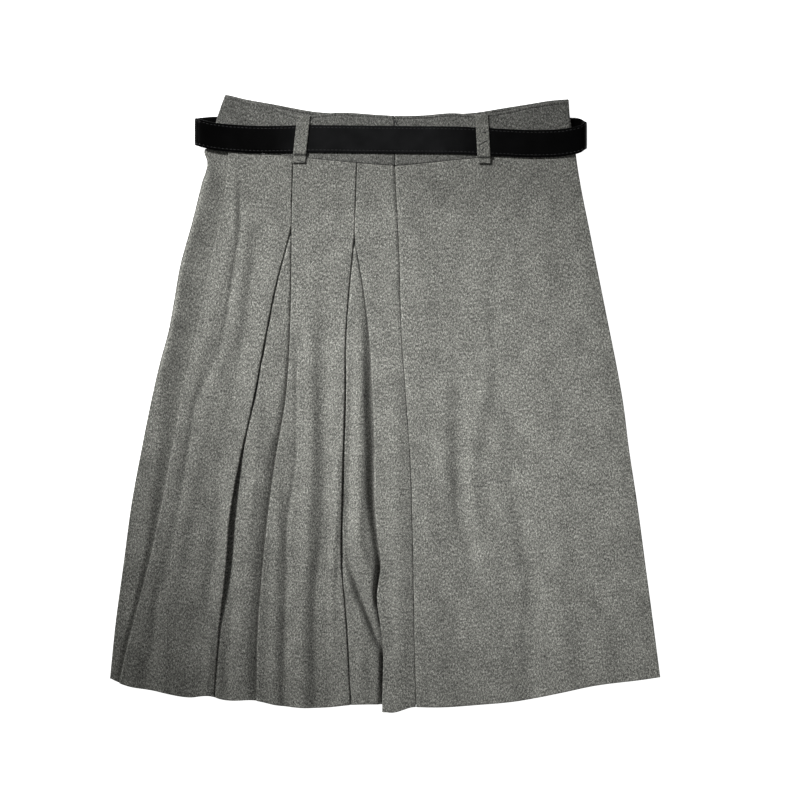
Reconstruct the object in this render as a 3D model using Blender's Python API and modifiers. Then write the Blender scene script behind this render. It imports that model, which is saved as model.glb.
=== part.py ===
"""A knee-length skirt of grey wool flannel with its own black leather belt, laid flat on its back panel.

X runs across the skirt, +Y towards the waist and +Z up from the surface that it lies on. Sizes are in
millimetres. "Down" is the distance below the waist's highest corner, and "across" is the distance to the
right of the middle of the skirt's width.
"""

import bpy
import numpy as np

MM = 0.001

# Driving sizes
LENGTH = 617.0  # from the waist's highest corner to the hem's lowest point
CLOTH = 1.2  # the flannel wall
BAND = 2.0  # the waistband, two layers of flannel with a stiffener
GAP = 0.4  # between folded layers of one piece
SEAM = 0.3  # between two pieces that are sewn or lie together
WAIST_SEAM = 0.4  # the same along the curved waist seam
STRAP_WIDTH = 27.5
STRAP = 2.2  # the leather's thickness
STRAP_LEFT_END = -190.25  # how far the belt's round turns reach past the waist
STRAP_RIGHT_END = 201.5
LAP = 50.0  # how far the belt's two ends lie over each other
LOOP_WIDTH = 13.0
LOOP_EDGE = 1.0  # a loop stands this far past the belt's edge
LOOP_FOOT = 2.5  # and is back on the waistband this far past it
STUD_RADIUS = 5.5
STUD = 1.2  # the cap's thickness
STUD_PLACE = 12.0  # each stud's distance from the middle of the lap
BACK_SHORT = 2.0  # how much shorter the back panel is than the front

# Heights of the middle of each layer at the waist, from the surface up
LAYER = CLOTH + GAP
STRAP_BACK_HEIGHT = CLOTH + SEAM + STRAP / 2
BAND_BACK_HEIGHT = STRAP_BACK_HEIGHT + STRAP / 2 + SEAM + BAND / 2
BAND_FRONT_TOP_HEIGHT = BAND_BACK_HEIGHT + BAND + 2 * GAP
BAND_FRONT_SEAM_HEIGHT = 9.5
TURN_RADIUS = 5.0  # the belt's round turns
TURN_HEIGHT = STRAP_BACK_HEIGHT + 2 * TURN_RADIUS
TURN_REACH = 30.0  # where the front stretch is down on the waistband again
LAP_RISE = STRAP + SEAM
LAP_REACH = 130.0  # how far from the middle the waist rises over the lapped ends
LAP_STEP_START = 60.0  # where the belt's inner end climbs onto the outer one
LAP_STEP_END = 32.0

# How the panels come down from the waist and from the pleats
WAIST_DEPTH = 55.0
WAIST_FALL = 95.0
PLAIN_REACH = 60.0
SIDE_RISE = 0.8  # the front's lift beside the side seams
SIDE_REACH = 14.0

# The skirt's two sides, a row for each level
OUTLINE_COLUMNS = ("down", "left", "right")
OUTLINE = np.array(
    [
        (0.0, -159.8, 183.2),
        (20.0, -166.8, 184.2),
        (45.0, -174.0, 188.0),
        (58.0, -180.5, 190.2),
        (66.0, -178.0, 191.2),
        (90.0, -183.8, 195.2),
        (130.0, -193.8, 203.2),
        (170.0, -204.8, 211.2),
        (210.0, -211.8, 219.2),
        (235.0, -216.4, 224.2),
        (270.0, -225.8, 231.2),
        (310.0, -234.8, 238.2),
        (350.0, -242.8, 243.2),
        (410.0, -253.8, 252.2),
        (470.0, -261.8, 260.2),
        (530.0, -269.8, 268.2),
        (584.0, -275.2, 275.2),
    ]
)

# The waistband's edges, a row for each place across: how far down each one lies
WAIST_COLUMNS = ("across", "front_top", "back_top", "front_seam", "back_seam")
WAIST = np.array(
    [
        (-180.0, 1.5, 0.0, 54.0, 54.0),
        (-160.0, 1.5, 0.0, 55.5, 55.5),
        (-140.0, 5.8, 4.5, 57.2, 57.1),
        (-112.0, 12.2, 9.5, 60.2, 59.7),
        (-89.0, 20.4, 14.0, 62.8, 61.6),
        (-72.0, 20.6, 17.0, 64.4, 62.9),
        (-50.0, 18.4, 18.8, 66.5, 64.3),
        (-5.0, 20.6, 21.2, 70.2, 65.9),
        (10.0, 21.4, 22.0, 71.0, 66.0),
        (38.0, 21.0, 21.8, 68.8, 65.6),
        (65.0, 18.8, 19.8, 66.0, 64.3),
        (92.0, 19.8, 17.8, 63.6, 62.2),
        (115.0, 17.4, 14.0, 61.2, 60.0),
        (145.0, 11.0, 9.2, 57.8, 57.3),
        (165.0, 7.8, 6.0, 55.6, 55.5),
        (184.0, 6.0, 4.5, 53.8, 53.8),
    ]
)

# The hem, a row for each place across
HEM_COLUMNS = ("across", "down")
HEM = np.array(
    [
        (-275.0, 583.0),
        (-263.0, 588.6),
        (-230.0, 595.4),
        (-196.0, 602.0),
        (-174.0, 601.0),
        (-164.0, 604.3),
        (-131.0, 605.0),
        (-110.0, 609.5),
        (-57.0, 612.0),
        (-35.0, 609.5),
        (-5.0, 609.0),
        (30.0, 611.5),
        (55.0, 612.0),
        (95.0, 609.5),
        (135.0, 605.6),
        (177.0, 597.4),
        (205.0, 591.4),
        (260.0, 584.2),
        (275.0, 582.0),
    ]
)

# The fold lines and the centre seam: where each lies across, at each of these levels
LEVELS = np.array([70.0, 140.0, 210.0, 300.0, 400.0, 500.0, 600.0])
LINES = {
    "side_edge": (-157.0, -170.5, -186.0, -203.8, -222.8, -247.5, -268.0),
    "outer_left": (-92.2, -94.6, -112.8, -130.8, -151.8, -163.2, -170.8),
    "outer_right": (-91.8, -93.8, -94.8, -98.8, -117.8, -124.2, -128.8),
    "centre_left": (-28.2, -30.2, -36.8, -40.2, -43.2, -41.2, -34.8),
    "centre_right": (-27.8, -29.6, -20.2, -13.8, -10.8, -8.2, -3.2),
    "centre_seam": (10.2, 12.8, 15.2, 20.8, 26.2, 28.2, 30.6),
}

# How far each pleat is turned under its edge, and where its fold comes back: at the waist and at the hem
TURNS_COLUMNS = ("edge", "way", "waist_depth", "hem_depth")
TURNS = {
    "side_inner": ("side_edge", 1.0, 27.0, 38.0),
    "outer_left_inner": ("outer_left", -1.0, 27.0, 38.0),
    "outer_right_inner": ("outer_right", 1.0, 26.0, 38.0),
    "centre_left_inner": ("centre_left", -1.0, 26.0, 36.0),
    "centre_right_inner": ("centre_right", 1.0, 27.0, 27.0),
}

# The pleated panel's cloth from the side seam to the centre seam: layer 1 lies lowest and layer 3 on top
RUNS_COLUMNS = ("start", "end", "layer", "points")
RUNS = (
    ("side_seam", "side_inner", 1, 6),
    ("side_inner", "side_edge", 2, 2),
    ("side_edge", "outer_left", 3, 10),
    ("outer_left", "outer_left_inner", 2, 2),
    ("outer_left_inner", "outer_right_inner", 1, 7),
    ("outer_right_inner", "outer_right", 2, 2),
    ("outer_right", "centre_left", 3, 9),
    ("centre_left", "centre_left_inner", 2, 2),
    ("centre_left_inner", "centre_right_inner", 1, 7),
    ("centre_right_inner", "centre_right", 2, 2),
    ("centre_right", "centre_seam", 3, 5),
)

# Which way the cloth lies from a fold's outer edge
EDGE_FACES = {
    "side_edge": 1.0,
    "outer_left": -1.0,
    "outer_right": 1.0,
    "centre_left": -1.0,
    "centre_right": 1.0,
}

# The front's soft folds, left to right: each grows from its start towards the hem
SOFT_COLUMNS = ("across_start", "down_start", "across_hem", "half_width", "height")
SOFT = (
    (-180.0, 190.0, -252.0, 9.0, 3.0),
    (-160.0, 210.0, -222.0, 11.0, 4.5),
    (-130.0, 260.0, -184.0, 12.0, 5.0),
    (-92.0, 230.0, -112.0, 8.0, 4.5),
    (-74.0, 200.0, -84.0, 9.0, 5.0),
    (-44.0, 260.0, -52.0, 8.0, 5.5),
    (0.0, 260.0, 14.0, 14.0, 2.5),
    (70.0, 150.0, 78.0, 14.0, 1.8),
    (112.0, 200.0, 118.0, 13.0, 2.2),
    (150.0, 180.0, 168.0, 20.0, 2.0),
    (165.0, 90.0, 232.0, 14.0, 2.4),
)
SOFT_GROWTH = 1.6  # a fold has its full height where it is 1 / 1.6 of the way down

# The lowest layer swells where a pleat's two edges part
SWELL_HEIGHT = {"outer": 4.5, "centre": 4.0}
SWELL_REACH = 30.0  # the parting at which it has its full height

# The extra length of the strip beside the centre seam, which hangs lowest
STRIP_DROP = 7.6

# The belt's middle line, a row for each place across: how far down it lies in front and behind
BELT_COLUMNS = ("across", "front", "back")
BELT = np.array(
    [
        (-190.0, 37.3, 37.3),
        (-176.0, 41.0, 35.8),
        (-143.0, 44.6, 35.6),
        (-71.0, 44.6, 36.5),
        (17.0, 45.6, 38.0),
        (73.0, 46.2, 37.5),
        (113.0, 48.0, 37.0),
        (152.0, 49.4, 36.6),
        (185.0, 47.0, 36.6),
        (195.0, 44.5, 37.6),
        (201.0, 40.8, 40.8),
    ]
)

# The belt loops: where each end lies across and down, and whether it is on the front
LOOPS_COLUMNS = ("name", "across_top", "across_bottom", "down_top", "down_bottom", "front")
LOOPS = (
    ("loop_front_left", -81.2, -86.2, 21.8, 68.6, True),
    ("loop_front_right", 96.2, 98.8, 20.4, 69.0, True),
    ("loop_back_left", -86.0, -86.0, 16.0, 60.0, False),
    ("loop_back_right", 96.0, 96.0, 19.5, 60.0, False),
)

# Grid sizes
SHARP_ANGLE = 0.7
PANEL_ROWS = 18
PLAIN_POINTS = 14
BACK_POINTS = 16
BAND_ROWS = 4
BAND_FRONT_POINTS = 14
BAND_BACK_POINTS = 24
TURN_STEPS = 8
BELT_FRONT_POINTS = 22
BELT_BACK_POINTS = 9


def ease(share):
    """Nought below a share of 0, one above a share of 1, and a smooth rise between."""
    share = np.clip(share, 0.0, 1.0)
    return share * share * (3.0 - 2.0 * share)


def curve_through(places, values, at):
    """A smooth curve through the values at their places, held level past both ends."""
    at = np.clip(at, places[0], places[-1])
    slope = np.gradient(values, places)
    before = np.clip(np.searchsorted(places, at) - 1, 0, len(places) - 2)
    step = places[before + 1] - places[before]
    share = (at - places[before]) / step
    rest = 1.0 - share
    start = values[before] * (1.0 + 2.0 * share) * rest**2 + slope[before] * step * share * rest**2
    end = values[before + 1] * (3.0 - 2.0 * share) * share**2
    return start + end - slope[before + 1] * step * rest * share**2


def side(down, right):
    """Where the outer face of the skirt's left or right side lies across."""
    return curve_through(OUTLINE[:, 0], OUTLINE[:, 2 if right else 1], down)


def waist_edge(across, name):
    """How far down one of the waistband's edges lies."""
    return curve_through(WAIST[:, 0], WAIST[:, WAIST_COLUMNS.index(name)], across)


def hem(across):
    """How far down the hem lies."""
    return curve_through(HEM[:, 0], HEM[:, 1], across)


def over_lap(across):
    """The rise of everything at the waist over the belt's lapped ends."""
    return LAP_RISE * ease((LAP_REACH - np.abs(across)) / (LAP_REACH - LAP))


def at_waist(down):
    """One at the waist seam, and nought where the skirt lies flat on the surface."""
    return 1.0 - ease((down - WAIST_DEPTH) / WAIST_FALL)


def back_height(across, down):
    """The middle of the back panel: flat on the surface, and lifted at the waist by the belt behind it."""
    return CLOTH / 2 + at_waist(down) * (BAND_BACK_HEIGHT - CLOTH / 2 + over_lap(across))


def band_back_height(across, down):
    """The middle of the back waistband, which lies on the belt."""
    return BAND_BACK_HEIGHT + over_lap(across) + 0.0 * down


def band_front_height(across, down):
    """The middle of the front waistband, which rises towards the pleats' thick seam."""
    top = waist_edge(across, "front_top")
    share = (down - top) / (waist_edge(across, "front_seam") - top)
    rise = (BAND_FRONT_SEAM_HEIGHT - BAND_FRONT_TOP_HEIGHT) * np.clip(share, 0.0, 1.0)
    return BAND_FRONT_TOP_HEIGHT + rise + over_lap(across)


def soft_height(across, down):
    """The rise of the soft folds, each a rounded ridge along a line from its start to the hem."""
    rise = np.zeros_like(across)
    for across_start, down_start, across_hem, half_width, height in SOFT:
        share = (down - down_start) / (LENGTH - down_start)
        middle = across_start + share * (across_hem - across_start)
        rise += height * ease(share * SOFT_GROWTH) * np.exp(-(((across - middle) / half_width) ** 2))
    return rise


def top_height(across, down):
    """The middle of the pleated panel's top layer."""
    return back_height(across, down) + 3 * LAYER + soft_height(across, down)


def lowest_height(across, down):
    """The middle of the pleated panel's lowest layer, raised by the side and where a pleat's edges part."""
    height = back_height(across, down) + LAYER
    height += SIDE_RISE * (1.0 - ease((across - side(down, right=False)) / SIDE_REACH))
    for pleat, swell in SWELL_HEIGHT.items():
        left = edge_line(pleat + "_left", down) + CLOTH
        right = edge_line(pleat + "_right", down) - CLOTH
        share = np.clip((across - left) / np.maximum(right - left, CLOTH), 0.0, 1.0)
        height += swell * ease((right - left) / SWELL_REACH) * np.sin(np.pi * share) ** 2
    return height


def middle_height(across, down):
    """The middle of the pleated panel's turned-under layer."""
    return back_height(across, down) + 2 * LAYER


def plain_height(across, down):
    """The middle of the plain panel: level with the pleats at its seams, and down on the back panel beyond."""
    beyond = ease((across - edge_line("centre_seam", down)) / PLAIN_REACH)
    level = 3.0 - 2.0 * beyond * ease((down - WAIST_DEPTH) / WAIST_FALL)
    near_side = (1.0 - at_waist(down)) * (1.0 - ease((side(down, right=True) - across) / SIDE_REACH))
    return back_height(across, down) + level * LAYER + SIDE_RISE * near_side + soft_height(across, down)


LAYER_HEIGHT = {1: lowest_height, 2: middle_height, 3: top_height}


def edge_line(name, down):
    """Where a fold's outer edge or the centre seam lies across."""
    return curve_through(LEVELS, np.array(LINES[name]), down)


def cloth_line(name, down):
    """Where the middle of the cloth lies at a side, a fold's edge, the turn under it or the centre seam."""
    if name == "side_seam":
        return side(down, right=False) + CLOTH / 2
    if name == "centre_seam":
        return centre_left(down)
    if name in TURNS:
        edge, way, waist_depth, hem_depth = TURNS[name]
        return cloth_line(edge, down) + way * (waist_depth + (hem_depth - waist_depth) * down / LENGTH)
    return edge_line(name, down) + EDGE_FACES[name] * (GAP / 2 + CLOTH / 2)


def strip_share(start, end, along):
    """How much of the strip's extra length a point has: all at its edge, none at its turn and its seam."""
    if start == "centre_right":
        return 1.0 - ease((along - 0.2) / 0.8)
    if end == "centre_right":
        return ease(along)
    return 0.0 * along


def panel_downs(across_of, seam, drop, hem_short):
    """Places across and down of a panel's grid, from its waist seam to the hem."""
    share = np.linspace(0.0, 1.0, PANEL_ROWS)[:, None]
    down = WAIST_DEPTH + share * (LENGTH - WAIST_DEPTH) + 0.0 * drop
    for _ in range(4):
        across = across_of(down)
        top = waist_edge(across, seam) + WAIST_SEAM / 2
        down = top + share * (hem(across) + drop - hem_short - top)
    return across, down


def with_side(points, right, other):
    """The grid with a last column turned to the side seam, midway to the other wall's height."""
    edge = points[:, -1 if right else 0].copy()
    way = 1.0 if edge[0, 2] > other[0] else -1.0
    edge[:, 2] = (edge[:, 2] + other) / 2 + way * SEAM / 2
    parts = (points, edge[:, None]) if right else (edge[:, None], points)
    return np.concatenate(parts, axis=1)


def pleated_points():
    """The pleated panel's middle surface: its runs of cloth one after another, from side to centre seam."""
    runs = []
    for start, end, layer, points in RUNS:
        along = np.linspace(0.0, 1.0, points)[None, :]
        drop = STRIP_DROP * strip_share(start, end, along)
        across, down = panel_downs(
            lambda d: cloth_line(start, d) * (1.0 - along) + cloth_line(end, d) * along,
            "front_seam",
            drop,
            0.0,
        )
        runs.append(np.stack((across, down, LAYER_HEIGHT[layer](across, down)), axis=-1))
    surface = np.concatenate(runs, axis=1)
    return with_side(surface, False, back_height(surface[:, 0, 0], surface[:, 0, 1]))


def plain_points():
    """The plain panel's middle surface, from the centre seam to the right side."""
    along = np.linspace(0.0, 1.0, PLAIN_POINTS)[None, :]
    across, down = panel_downs(
        lambda d: centre_right(d) * (1.0 - along)
        + (side(d, right=True) - CLOTH / 2) * along,
        "front_seam",
        0.0 * along,
        0.0,
    )
    surface = np.stack((across, down, plain_height(across, down)), axis=-1)
    return with_side(surface, True, back_height(across[:, -1], down[:, -1]))


def back_points():
    """The back panel's middle surface, from side to side and a little shorter than the front."""
    along = np.linspace(0.0, 1.0, BACK_POINTS)[None, :]
    across, down = panel_downs(
        lambda d: (side(d, right=False) + CLOTH / 2) * (1.0 - along)
        + (side(d, right=True) - CLOTH / 2) * along,
        "back_seam",
        0.0 * along,
        BACK_SHORT,
    )
    surface = np.stack((across, down, back_height(across, down)), axis=-1)
    surface = with_side(surface, False, lowest_height(across[:, 0], down[:, 0]))
    return with_side(surface, True, plain_height(across[:, -1], down[:, -1]))


def band_points(start, end, points, face, height):
    """A piece of waistband's middle surface, from its top edge to the waist seam."""
    share = np.linspace(0.0, 1.0, BAND_ROWS)[:, None]
    along = np.linspace(0.0, 1.0, points)[None, :]
    down = share * WAIST_DEPTH + 0.0 * along
    for _ in range(4):
        across = start(down) * (1.0 - along) + end(down) * along
        top = waist_edge(across, face + "_top")
        down = top + share * (waist_edge(across, face + "_seam") - WAIST_SEAM / 2 - top)
    return np.stack((across, down, height(across, down)), axis=-1)


def band_left(down):
    """Where the waistband's middle lies at the left side."""
    return side(down, right=False) + BAND / 2


def band_right(down):
    """Where the waistband's middle lies at the right side."""
    return side(down, right=True) - BAND / 2


def centre_left(down):
    """The left face of the gap at the centre seam."""
    return edge_line("centre_seam", down) - SEAM / 2


def centre_right(down):
    """The right face of the gap at the centre seam."""
    return edge_line("centre_seam", down) + SEAM / 2


def belt_height(across, down):
    """The middle of the belt's front stretch: on the waistband, and up to its round turns past the sides."""
    on_band = band_front_height(across, down) + BAND / 2 + SEAM + STRAP / 2
    from_turn = np.minimum(across - STRAP_LEFT_END, STRAP_RIGHT_END - across) - TURN_RADIUS - STRAP / 2
    share = ease(from_turn / TURN_REACH)
    return TURN_HEIGHT * (1.0 - share) + on_band * share


def belt_points():
    """The strap's middle surface, from its outer end behind, round the left side, the front and the right."""
    left = STRAP_LEFT_END + STRAP / 2 + TURN_RADIUS
    right = STRAP_RIGHT_END - STRAP / 2 - TURN_RADIUS
    angle = np.linspace(0.0, np.pi, TURN_STEPS + 1)[1:-1]
    turn_height = STRAP_BACK_HEIGHT + TURN_RADIUS * (1.0 - np.cos(angle))
    across_back = np.linspace(LAP / 2, left, BELT_BACK_POINTS)
    across_front = np.linspace(left, right, BELT_FRONT_POINTS)
    across_return = np.concatenate(
        (np.linspace(right, LAP_STEP_START, BELT_BACK_POINTS), (LAP_STEP_END, 0.0, -LAP / 2))
    )
    lifted = LAP_RISE * ease((LAP_STEP_START - across_return) / (LAP_STEP_START - LAP_STEP_END))
    stretches = (
        (across_back, "back", np.full_like(across_back, STRAP_BACK_HEIGHT)),
        (left - TURN_RADIUS * np.sin(angle), "turn", turn_height),
        (across_front, "front", None),
        (right + TURN_RADIUS * np.sin(angle), "turn", turn_height[::-1]),
        (across_return, "back", STRAP_BACK_HEIGHT + lifted),
    )
    rows = []
    for across, stretch, height in stretches:
        front = curve_through(BELT[:, 0], BELT[:, 1], across)
        back = curve_through(BELT[:, 0], BELT[:, 2], across)
        if stretch == "turn":
            middle = back + (front - back) * (height - STRAP_BACK_HEIGHT) / (2 * TURN_RADIUS)
        else:
            middle = front if stretch == "front" else back
        down = np.stack((middle - STRAP_WIDTH / 2, middle + STRAP_WIDTH / 2))
        across = np.stack((across, across))
        height = belt_height(across, down) if height is None else np.stack((height, height))
        rows.append(np.stack((across, down, height), axis=-1))
    return np.concatenate(rows, axis=1)


def loop_points(across_top, across_bottom, down_top, down_bottom, front):
    """A belt loop's middle surface: on the waistband at both ends, and round the belt between them."""
    belt = curve_through(BELT[:, 0], BELT[:, 1 if front else 2], (across_top + across_bottom) / 2)
    above = belt - STRAP_WIDTH / 2
    below = belt + STRAP_WIDTH / 2
    down = np.array(
        (down_top, above - LOOP_FOOT, above - LOOP_EDGE, belt, below + LOOP_EDGE, below + LOOP_FOOT, down_bottom)
    )
    on_belt = np.array((0.0, 0.0, 1.0, 1.0, 1.0, 0.0, 0.0))
    share = (down - down_top) / (down_bottom - down_top)
    across = across_top + share * (across_bottom - across_top)
    across = np.stack((across - LOOP_WIDTH / 2, across + LOOP_WIDTH / 2))
    down = np.stack((down, down))
    off_band = SEAM + BAND / 2 + CLOTH / 2
    off_belt = SEAM + STRAP / 2 + CLOTH / 2
    if front:
        foot = band_front_height(across, down) + off_band
        bridge = belt_height(across, down) + off_belt
    else:
        foot = band_back_height(across, down) - off_band
        bridge = STRAP_BACK_HEIGHT - off_belt
    height = foot * (1.0 - on_belt) + bridge * on_belt
    return np.stack((across, down, height), axis=-1)


def to_world(points):
    """Across, down and height made X, Y and Z in metres."""
    return np.stack((points[..., 0], LENGTH / 2 - points[..., 1], points[..., 2]), axis=-1) * MM


def wall(name, points, thickness, material):
    """A grid of points made an open surface, then a wall of even thickness about it."""
    rows, columns, _ = points.shape
    index = np.arange(rows * columns).reshape(rows, columns)
    corners = (index[:-1, :-1], index[1:, :-1], index[1:, 1:], index[:-1, 1:])
    faces = np.stack(corners, axis=-1).reshape(-1, 4)
    mesh = bpy.data.meshes.new(name)
    mesh.from_pydata(to_world(points).reshape(-1, 3).tolist(), [], faces.tolist())
    mesh.materials.append(material)
    mesh.shade_smooth()
    mesh.set_sharp_from_angle(angle=SHARP_ANGLE)
    piece = bpy.data.objects.new(name, mesh)
    skirt.objects.link(piece)
    solidify = piece.modifiers.new("wall", "SOLIDIFY")
    solidify.thickness = thickness * MM
    solidify.offset = 0.0
    solidify.use_even_offset = True


def stud(name, across, material):
    """The flat cap of a press stud, on the outer face of the belt's lapped ends."""
    down = curve_through(BELT[:, 0], BELT[:, 2], across)
    bpy.ops.mesh.primitive_cylinder_add(
        vertices=24,
        radius=STUD_RADIUS * MM,
        depth=STUD * MM,
        location=(across * MM, (LENGTH / 2 - down) * MM, STUD / 2 * MM),
    )
    piece = bpy.context.object
    piece.name = name
    piece.data.name = name
    piece.data.materials.append(material)
    for holder in list(piece.users_collection):
        holder.objects.unlink(piece)
    skirt.objects.link(piece)


def material(name, colour, roughness, metallic=0.0):
    """A plain surface in one colour."""
    made = bpy.data.materials.new(name)
    made.use_nodes = True
    shader = made.node_tree.nodes["Principled BSDF"]
    shader.inputs["Base Color"].default_value = (*colour, 1.0)
    shader.inputs["Roughness"].default_value = roughness
    shader.inputs["Metallic"].default_value = metallic
    return made


for old in list(bpy.data.objects):
    bpy.data.objects.remove(old, do_unlink=True)

skirt = bpy.data.collections.new("pleated_skirt")
bpy.context.scene.collection.children.link(skirt)
flannel = material("grey_flannel", (0.19, 0.19, 0.175), 0.95)
leather = material("black_leather", (0.01, 0.01, 0.011), 0.45)
metal = material("dark_metal", (0.12, 0.12, 0.13), 0.35, 1.0)

# The panels
wall("front_pleated", pleated_points(), CLOTH, flannel)
wall("front_plain", plain_points(), CLOTH, flannel)
wall("back_panel", back_points(), CLOTH, flannel)

# The waistband, each piece turned to its neighbour at the sides
front_left = band_points(band_left, centre_left, BAND_FRONT_POINTS, "front", band_front_height)
front_left = with_side(front_left, False, band_back_height(front_left[:, 0, 0], front_left[:, 0, 1]))
wall("band_front_left", front_left, BAND, flannel)
front_right = band_points(centre_right, band_right, BAND_FRONT_POINTS, "front", band_front_height)
front_right = with_side(front_right, True, band_back_height(front_right[:, -1, 0], front_right[:, -1, 1]))
wall("band_front_right", front_right, BAND, flannel)
band_back = band_points(band_left, band_right, BAND_BACK_POINTS, "back", band_back_height)
band_back = with_side(band_back, False, band_front_height(band_back[:, 0, 0], band_back[:, 0, 1]))
band_back = with_side(band_back, True, band_front_height(band_back[:, -1, 0], band_back[:, -1, 1]))
wall("band_back", band_back, BAND, flannel)

# The belt, its loops and the studs that close it
for name, across_top, across_bottom, down_top, down_bottom, front in LOOPS:
    points = loop_points(across_top, across_bottom, down_top, down_bottom, front)
    wall(name, points, CLOTH, flannel)
wall("belt_strap", belt_points(), STRAP, leather)
stud("belt_stud_left", -STUD_PLACE, metal)
stud("belt_stud_right", STUD_PLACE, metal)
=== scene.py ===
"""The looks of a knee-length grey flannel skirt with its black leather belt, laid flat round its solids.

Sizes are in millimetres. "Across" is the distance to the right of the middle of the skirt's width, "down" the
distance below the waist's highest corner, and "height" the distance above the surface that the skirt lies on.
"""

import bpy
import numpy as np
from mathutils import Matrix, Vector


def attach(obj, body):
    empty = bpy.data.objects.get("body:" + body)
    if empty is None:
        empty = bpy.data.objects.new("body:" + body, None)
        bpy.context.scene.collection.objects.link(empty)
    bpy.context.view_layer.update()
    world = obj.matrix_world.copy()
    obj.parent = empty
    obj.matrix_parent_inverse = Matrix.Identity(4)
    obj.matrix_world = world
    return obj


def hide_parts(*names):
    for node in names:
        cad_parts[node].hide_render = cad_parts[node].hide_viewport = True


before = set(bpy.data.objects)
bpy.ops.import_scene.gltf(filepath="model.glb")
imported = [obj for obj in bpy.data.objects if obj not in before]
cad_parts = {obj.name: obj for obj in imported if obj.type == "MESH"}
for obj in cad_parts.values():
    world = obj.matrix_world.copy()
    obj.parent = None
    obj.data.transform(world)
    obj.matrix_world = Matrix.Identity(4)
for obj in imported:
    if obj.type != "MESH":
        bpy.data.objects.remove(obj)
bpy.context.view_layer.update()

# The flannel: a heathered grey wool cloth with a short nap. Dark and pale fibres are spun together, so it is
# speckled along and across its threads, with a few darker flecks, and no yarn of it is one colour.
HEATHER_COLOURS = ((0.0, (0.030, 0.030, 0.027)), (0.5, (0.158, 0.159, 0.144)), (1.0, (0.50, 0.50, 0.455)))
FLECK_COLOUR = (0.035, 0.034, 0.032, 1.0)
FIBRE_STRETCH = (1.0, 0.4, 1.0)  # how much less often the fibres change down the cloth than across it
THREAD_STRETCH = (1.0, 0.6, 1.0)
NAP_STRENGTH = 0.5
NAP_HEIGHT = 0.0006


def add_node(tree, kind, inputs=(), **settings):
    """A new node, with its settings made and its inputs set to values or linked to other nodes' outputs."""
    node = tree.nodes.new(kind)
    for name, value in settings.items():
        setattr(node, name, value)
    for name, value in dict(inputs).items():
        if isinstance(value, bpy.types.NodeSocket):
            tree.links.new(value, node.inputs[name])
        else:
            node.inputs[name].default_value = value
    return node


def coloured(tree, value, stops):
    """A colour ramp over a value: each stop is a place from 0 to 1 and a colour."""
    node = add_node(tree, "ShaderNodeValToRGB", {"Fac": value})
    ramp = node.color_ramp
    ramp.elements[0].position, ramp.elements[0].color = stops[0][0], (*stops[0][1], 1.0)
    ramp.elements[1].position, ramp.elements[1].color = stops[-1][0], (*stops[-1][1], 1.0)
    for place, colour in stops[1:-1]:
        ramp.elements.new(place).color = (*colour, 1.0)
    return node.outputs["Color"]


def noise(tree, place, scale, detail=2.0, roughness=0.5):
    """A noise texture's value over a place, in bumps as wide as the place's unit divided by the scale."""
    values = {"Vector": place, "Scale": scale, "Detail": detail, "Roughness": roughness}
    return add_node(tree, "ShaderNodeTexNoise", values).outputs["Fac"]


def rescaled(tree, value, start, end, new_start, new_end):
    """A value's range from start to end stretched over a new one, and held level past both ends."""
    values = {"Value": value, "From Min": start, "From Max": end, "To Min": new_start, "To Max": new_end}
    return add_node(tree, "ShaderNodeMapRange", values).outputs["Result"]


def multiplied(tree, first, second):
    """Two colours, or a colour and a value, multiplied with each other."""
    node = add_node(tree, "ShaderNodeVectorMath", operation="MULTIPLY")
    tree.links.new(first, node.inputs[0])
    tree.links.new(second, node.inputs[1])
    return node.outputs["Vector"]


def new_material(name, values):
    """A new material, its node tree and its shader, with the values set on the shader's inputs."""
    made = bpy.data.materials.new(name)
    made.use_nodes = True
    shader = made.node_tree.nodes["Principled BSDF"]
    for socket, value in values.items():
        shader.inputs[socket].default_value = value
    return made, made.node_tree, shader


def raise_surface(tree, shader, height, strength, distance):
    """Bumps as high as the distance where the height is one, on a material's surface."""
    bump = add_node(tree, "ShaderNodeBump", {"Strength": strength, "Distance": distance, "Height": height})
    tree.links.new(bump.outputs["Normal"], shader.inputs["Normal"])


def heather_group():
    """Flannel's colour and nap over a place on the cloth in metres: speckles, fibres and dark flecks."""
    group = bpy.data.node_groups.new("heather", "ShaderNodeTree")
    for name, way, kind in (
        ("Place", "INPUT", "NodeSocketVector"),
        ("Tint", "INPUT", "NodeSocketColor"),
        ("Colour", "OUTPUT", "NodeSocketColor"),
        ("Nap", "OUTPUT", "NodeSocketFloat"),
    ):
        group.interface.new_socket(name=name, in_out=way, socket_type=kind)
    start, end = group.nodes.new("NodeGroupInput"), group.nodes.new("NodeGroupOutput")
    place = start.outputs["Place"]
    fibres, threads = (
        add_node(group, "ShaderNodeMapping", {"Vector": place, "Scale": stretch}).outputs["Vector"]
        for stretch in (FIBRE_STRETCH, THREAD_STRETCH)
    )
    speckle = noise(group, threads, 640.0, 3.5, 0.75)
    fibre = noise(group, fibres, 1500.0, 2.0, 0.6)
    cloud = noise(group, threads, 48.0, 5.0, 0.8)
    mixed = add_node(group, "ShaderNodeMix", {"Factor": 0.45, "A": speckle, "B": fibre}, data_type="FLOAT")
    nap = mixed.outputs["Result"]
    colour = coloured(group, rescaled(group, nap, 0.37, 0.63, 0.0, 1.0), HEATHER_COLOURS)
    shaded = multiplied(group, colour, rescaled(group, cloud, 0.3, 0.7, 0.70, 1.30))
    tinted = multiplied(group, shaded, start.outputs["Tint"])
    is_fleck = rescaled(group, noise(group, place, 260.0, 1.0), 0.74, 0.78, 0.0, 0.8)
    flecked = add_node(
        group, "ShaderNodeMix", {"Factor": is_fleck, "A": tinted, "B": FLECK_COLOUR}, data_type="RGBA"
    )
    group.links.new(flecked.outputs["Result"], end.inputs["Colour"])
    group.links.new(nap, end.inputs["Nap"])
    return group


heather = heather_group()


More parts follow.
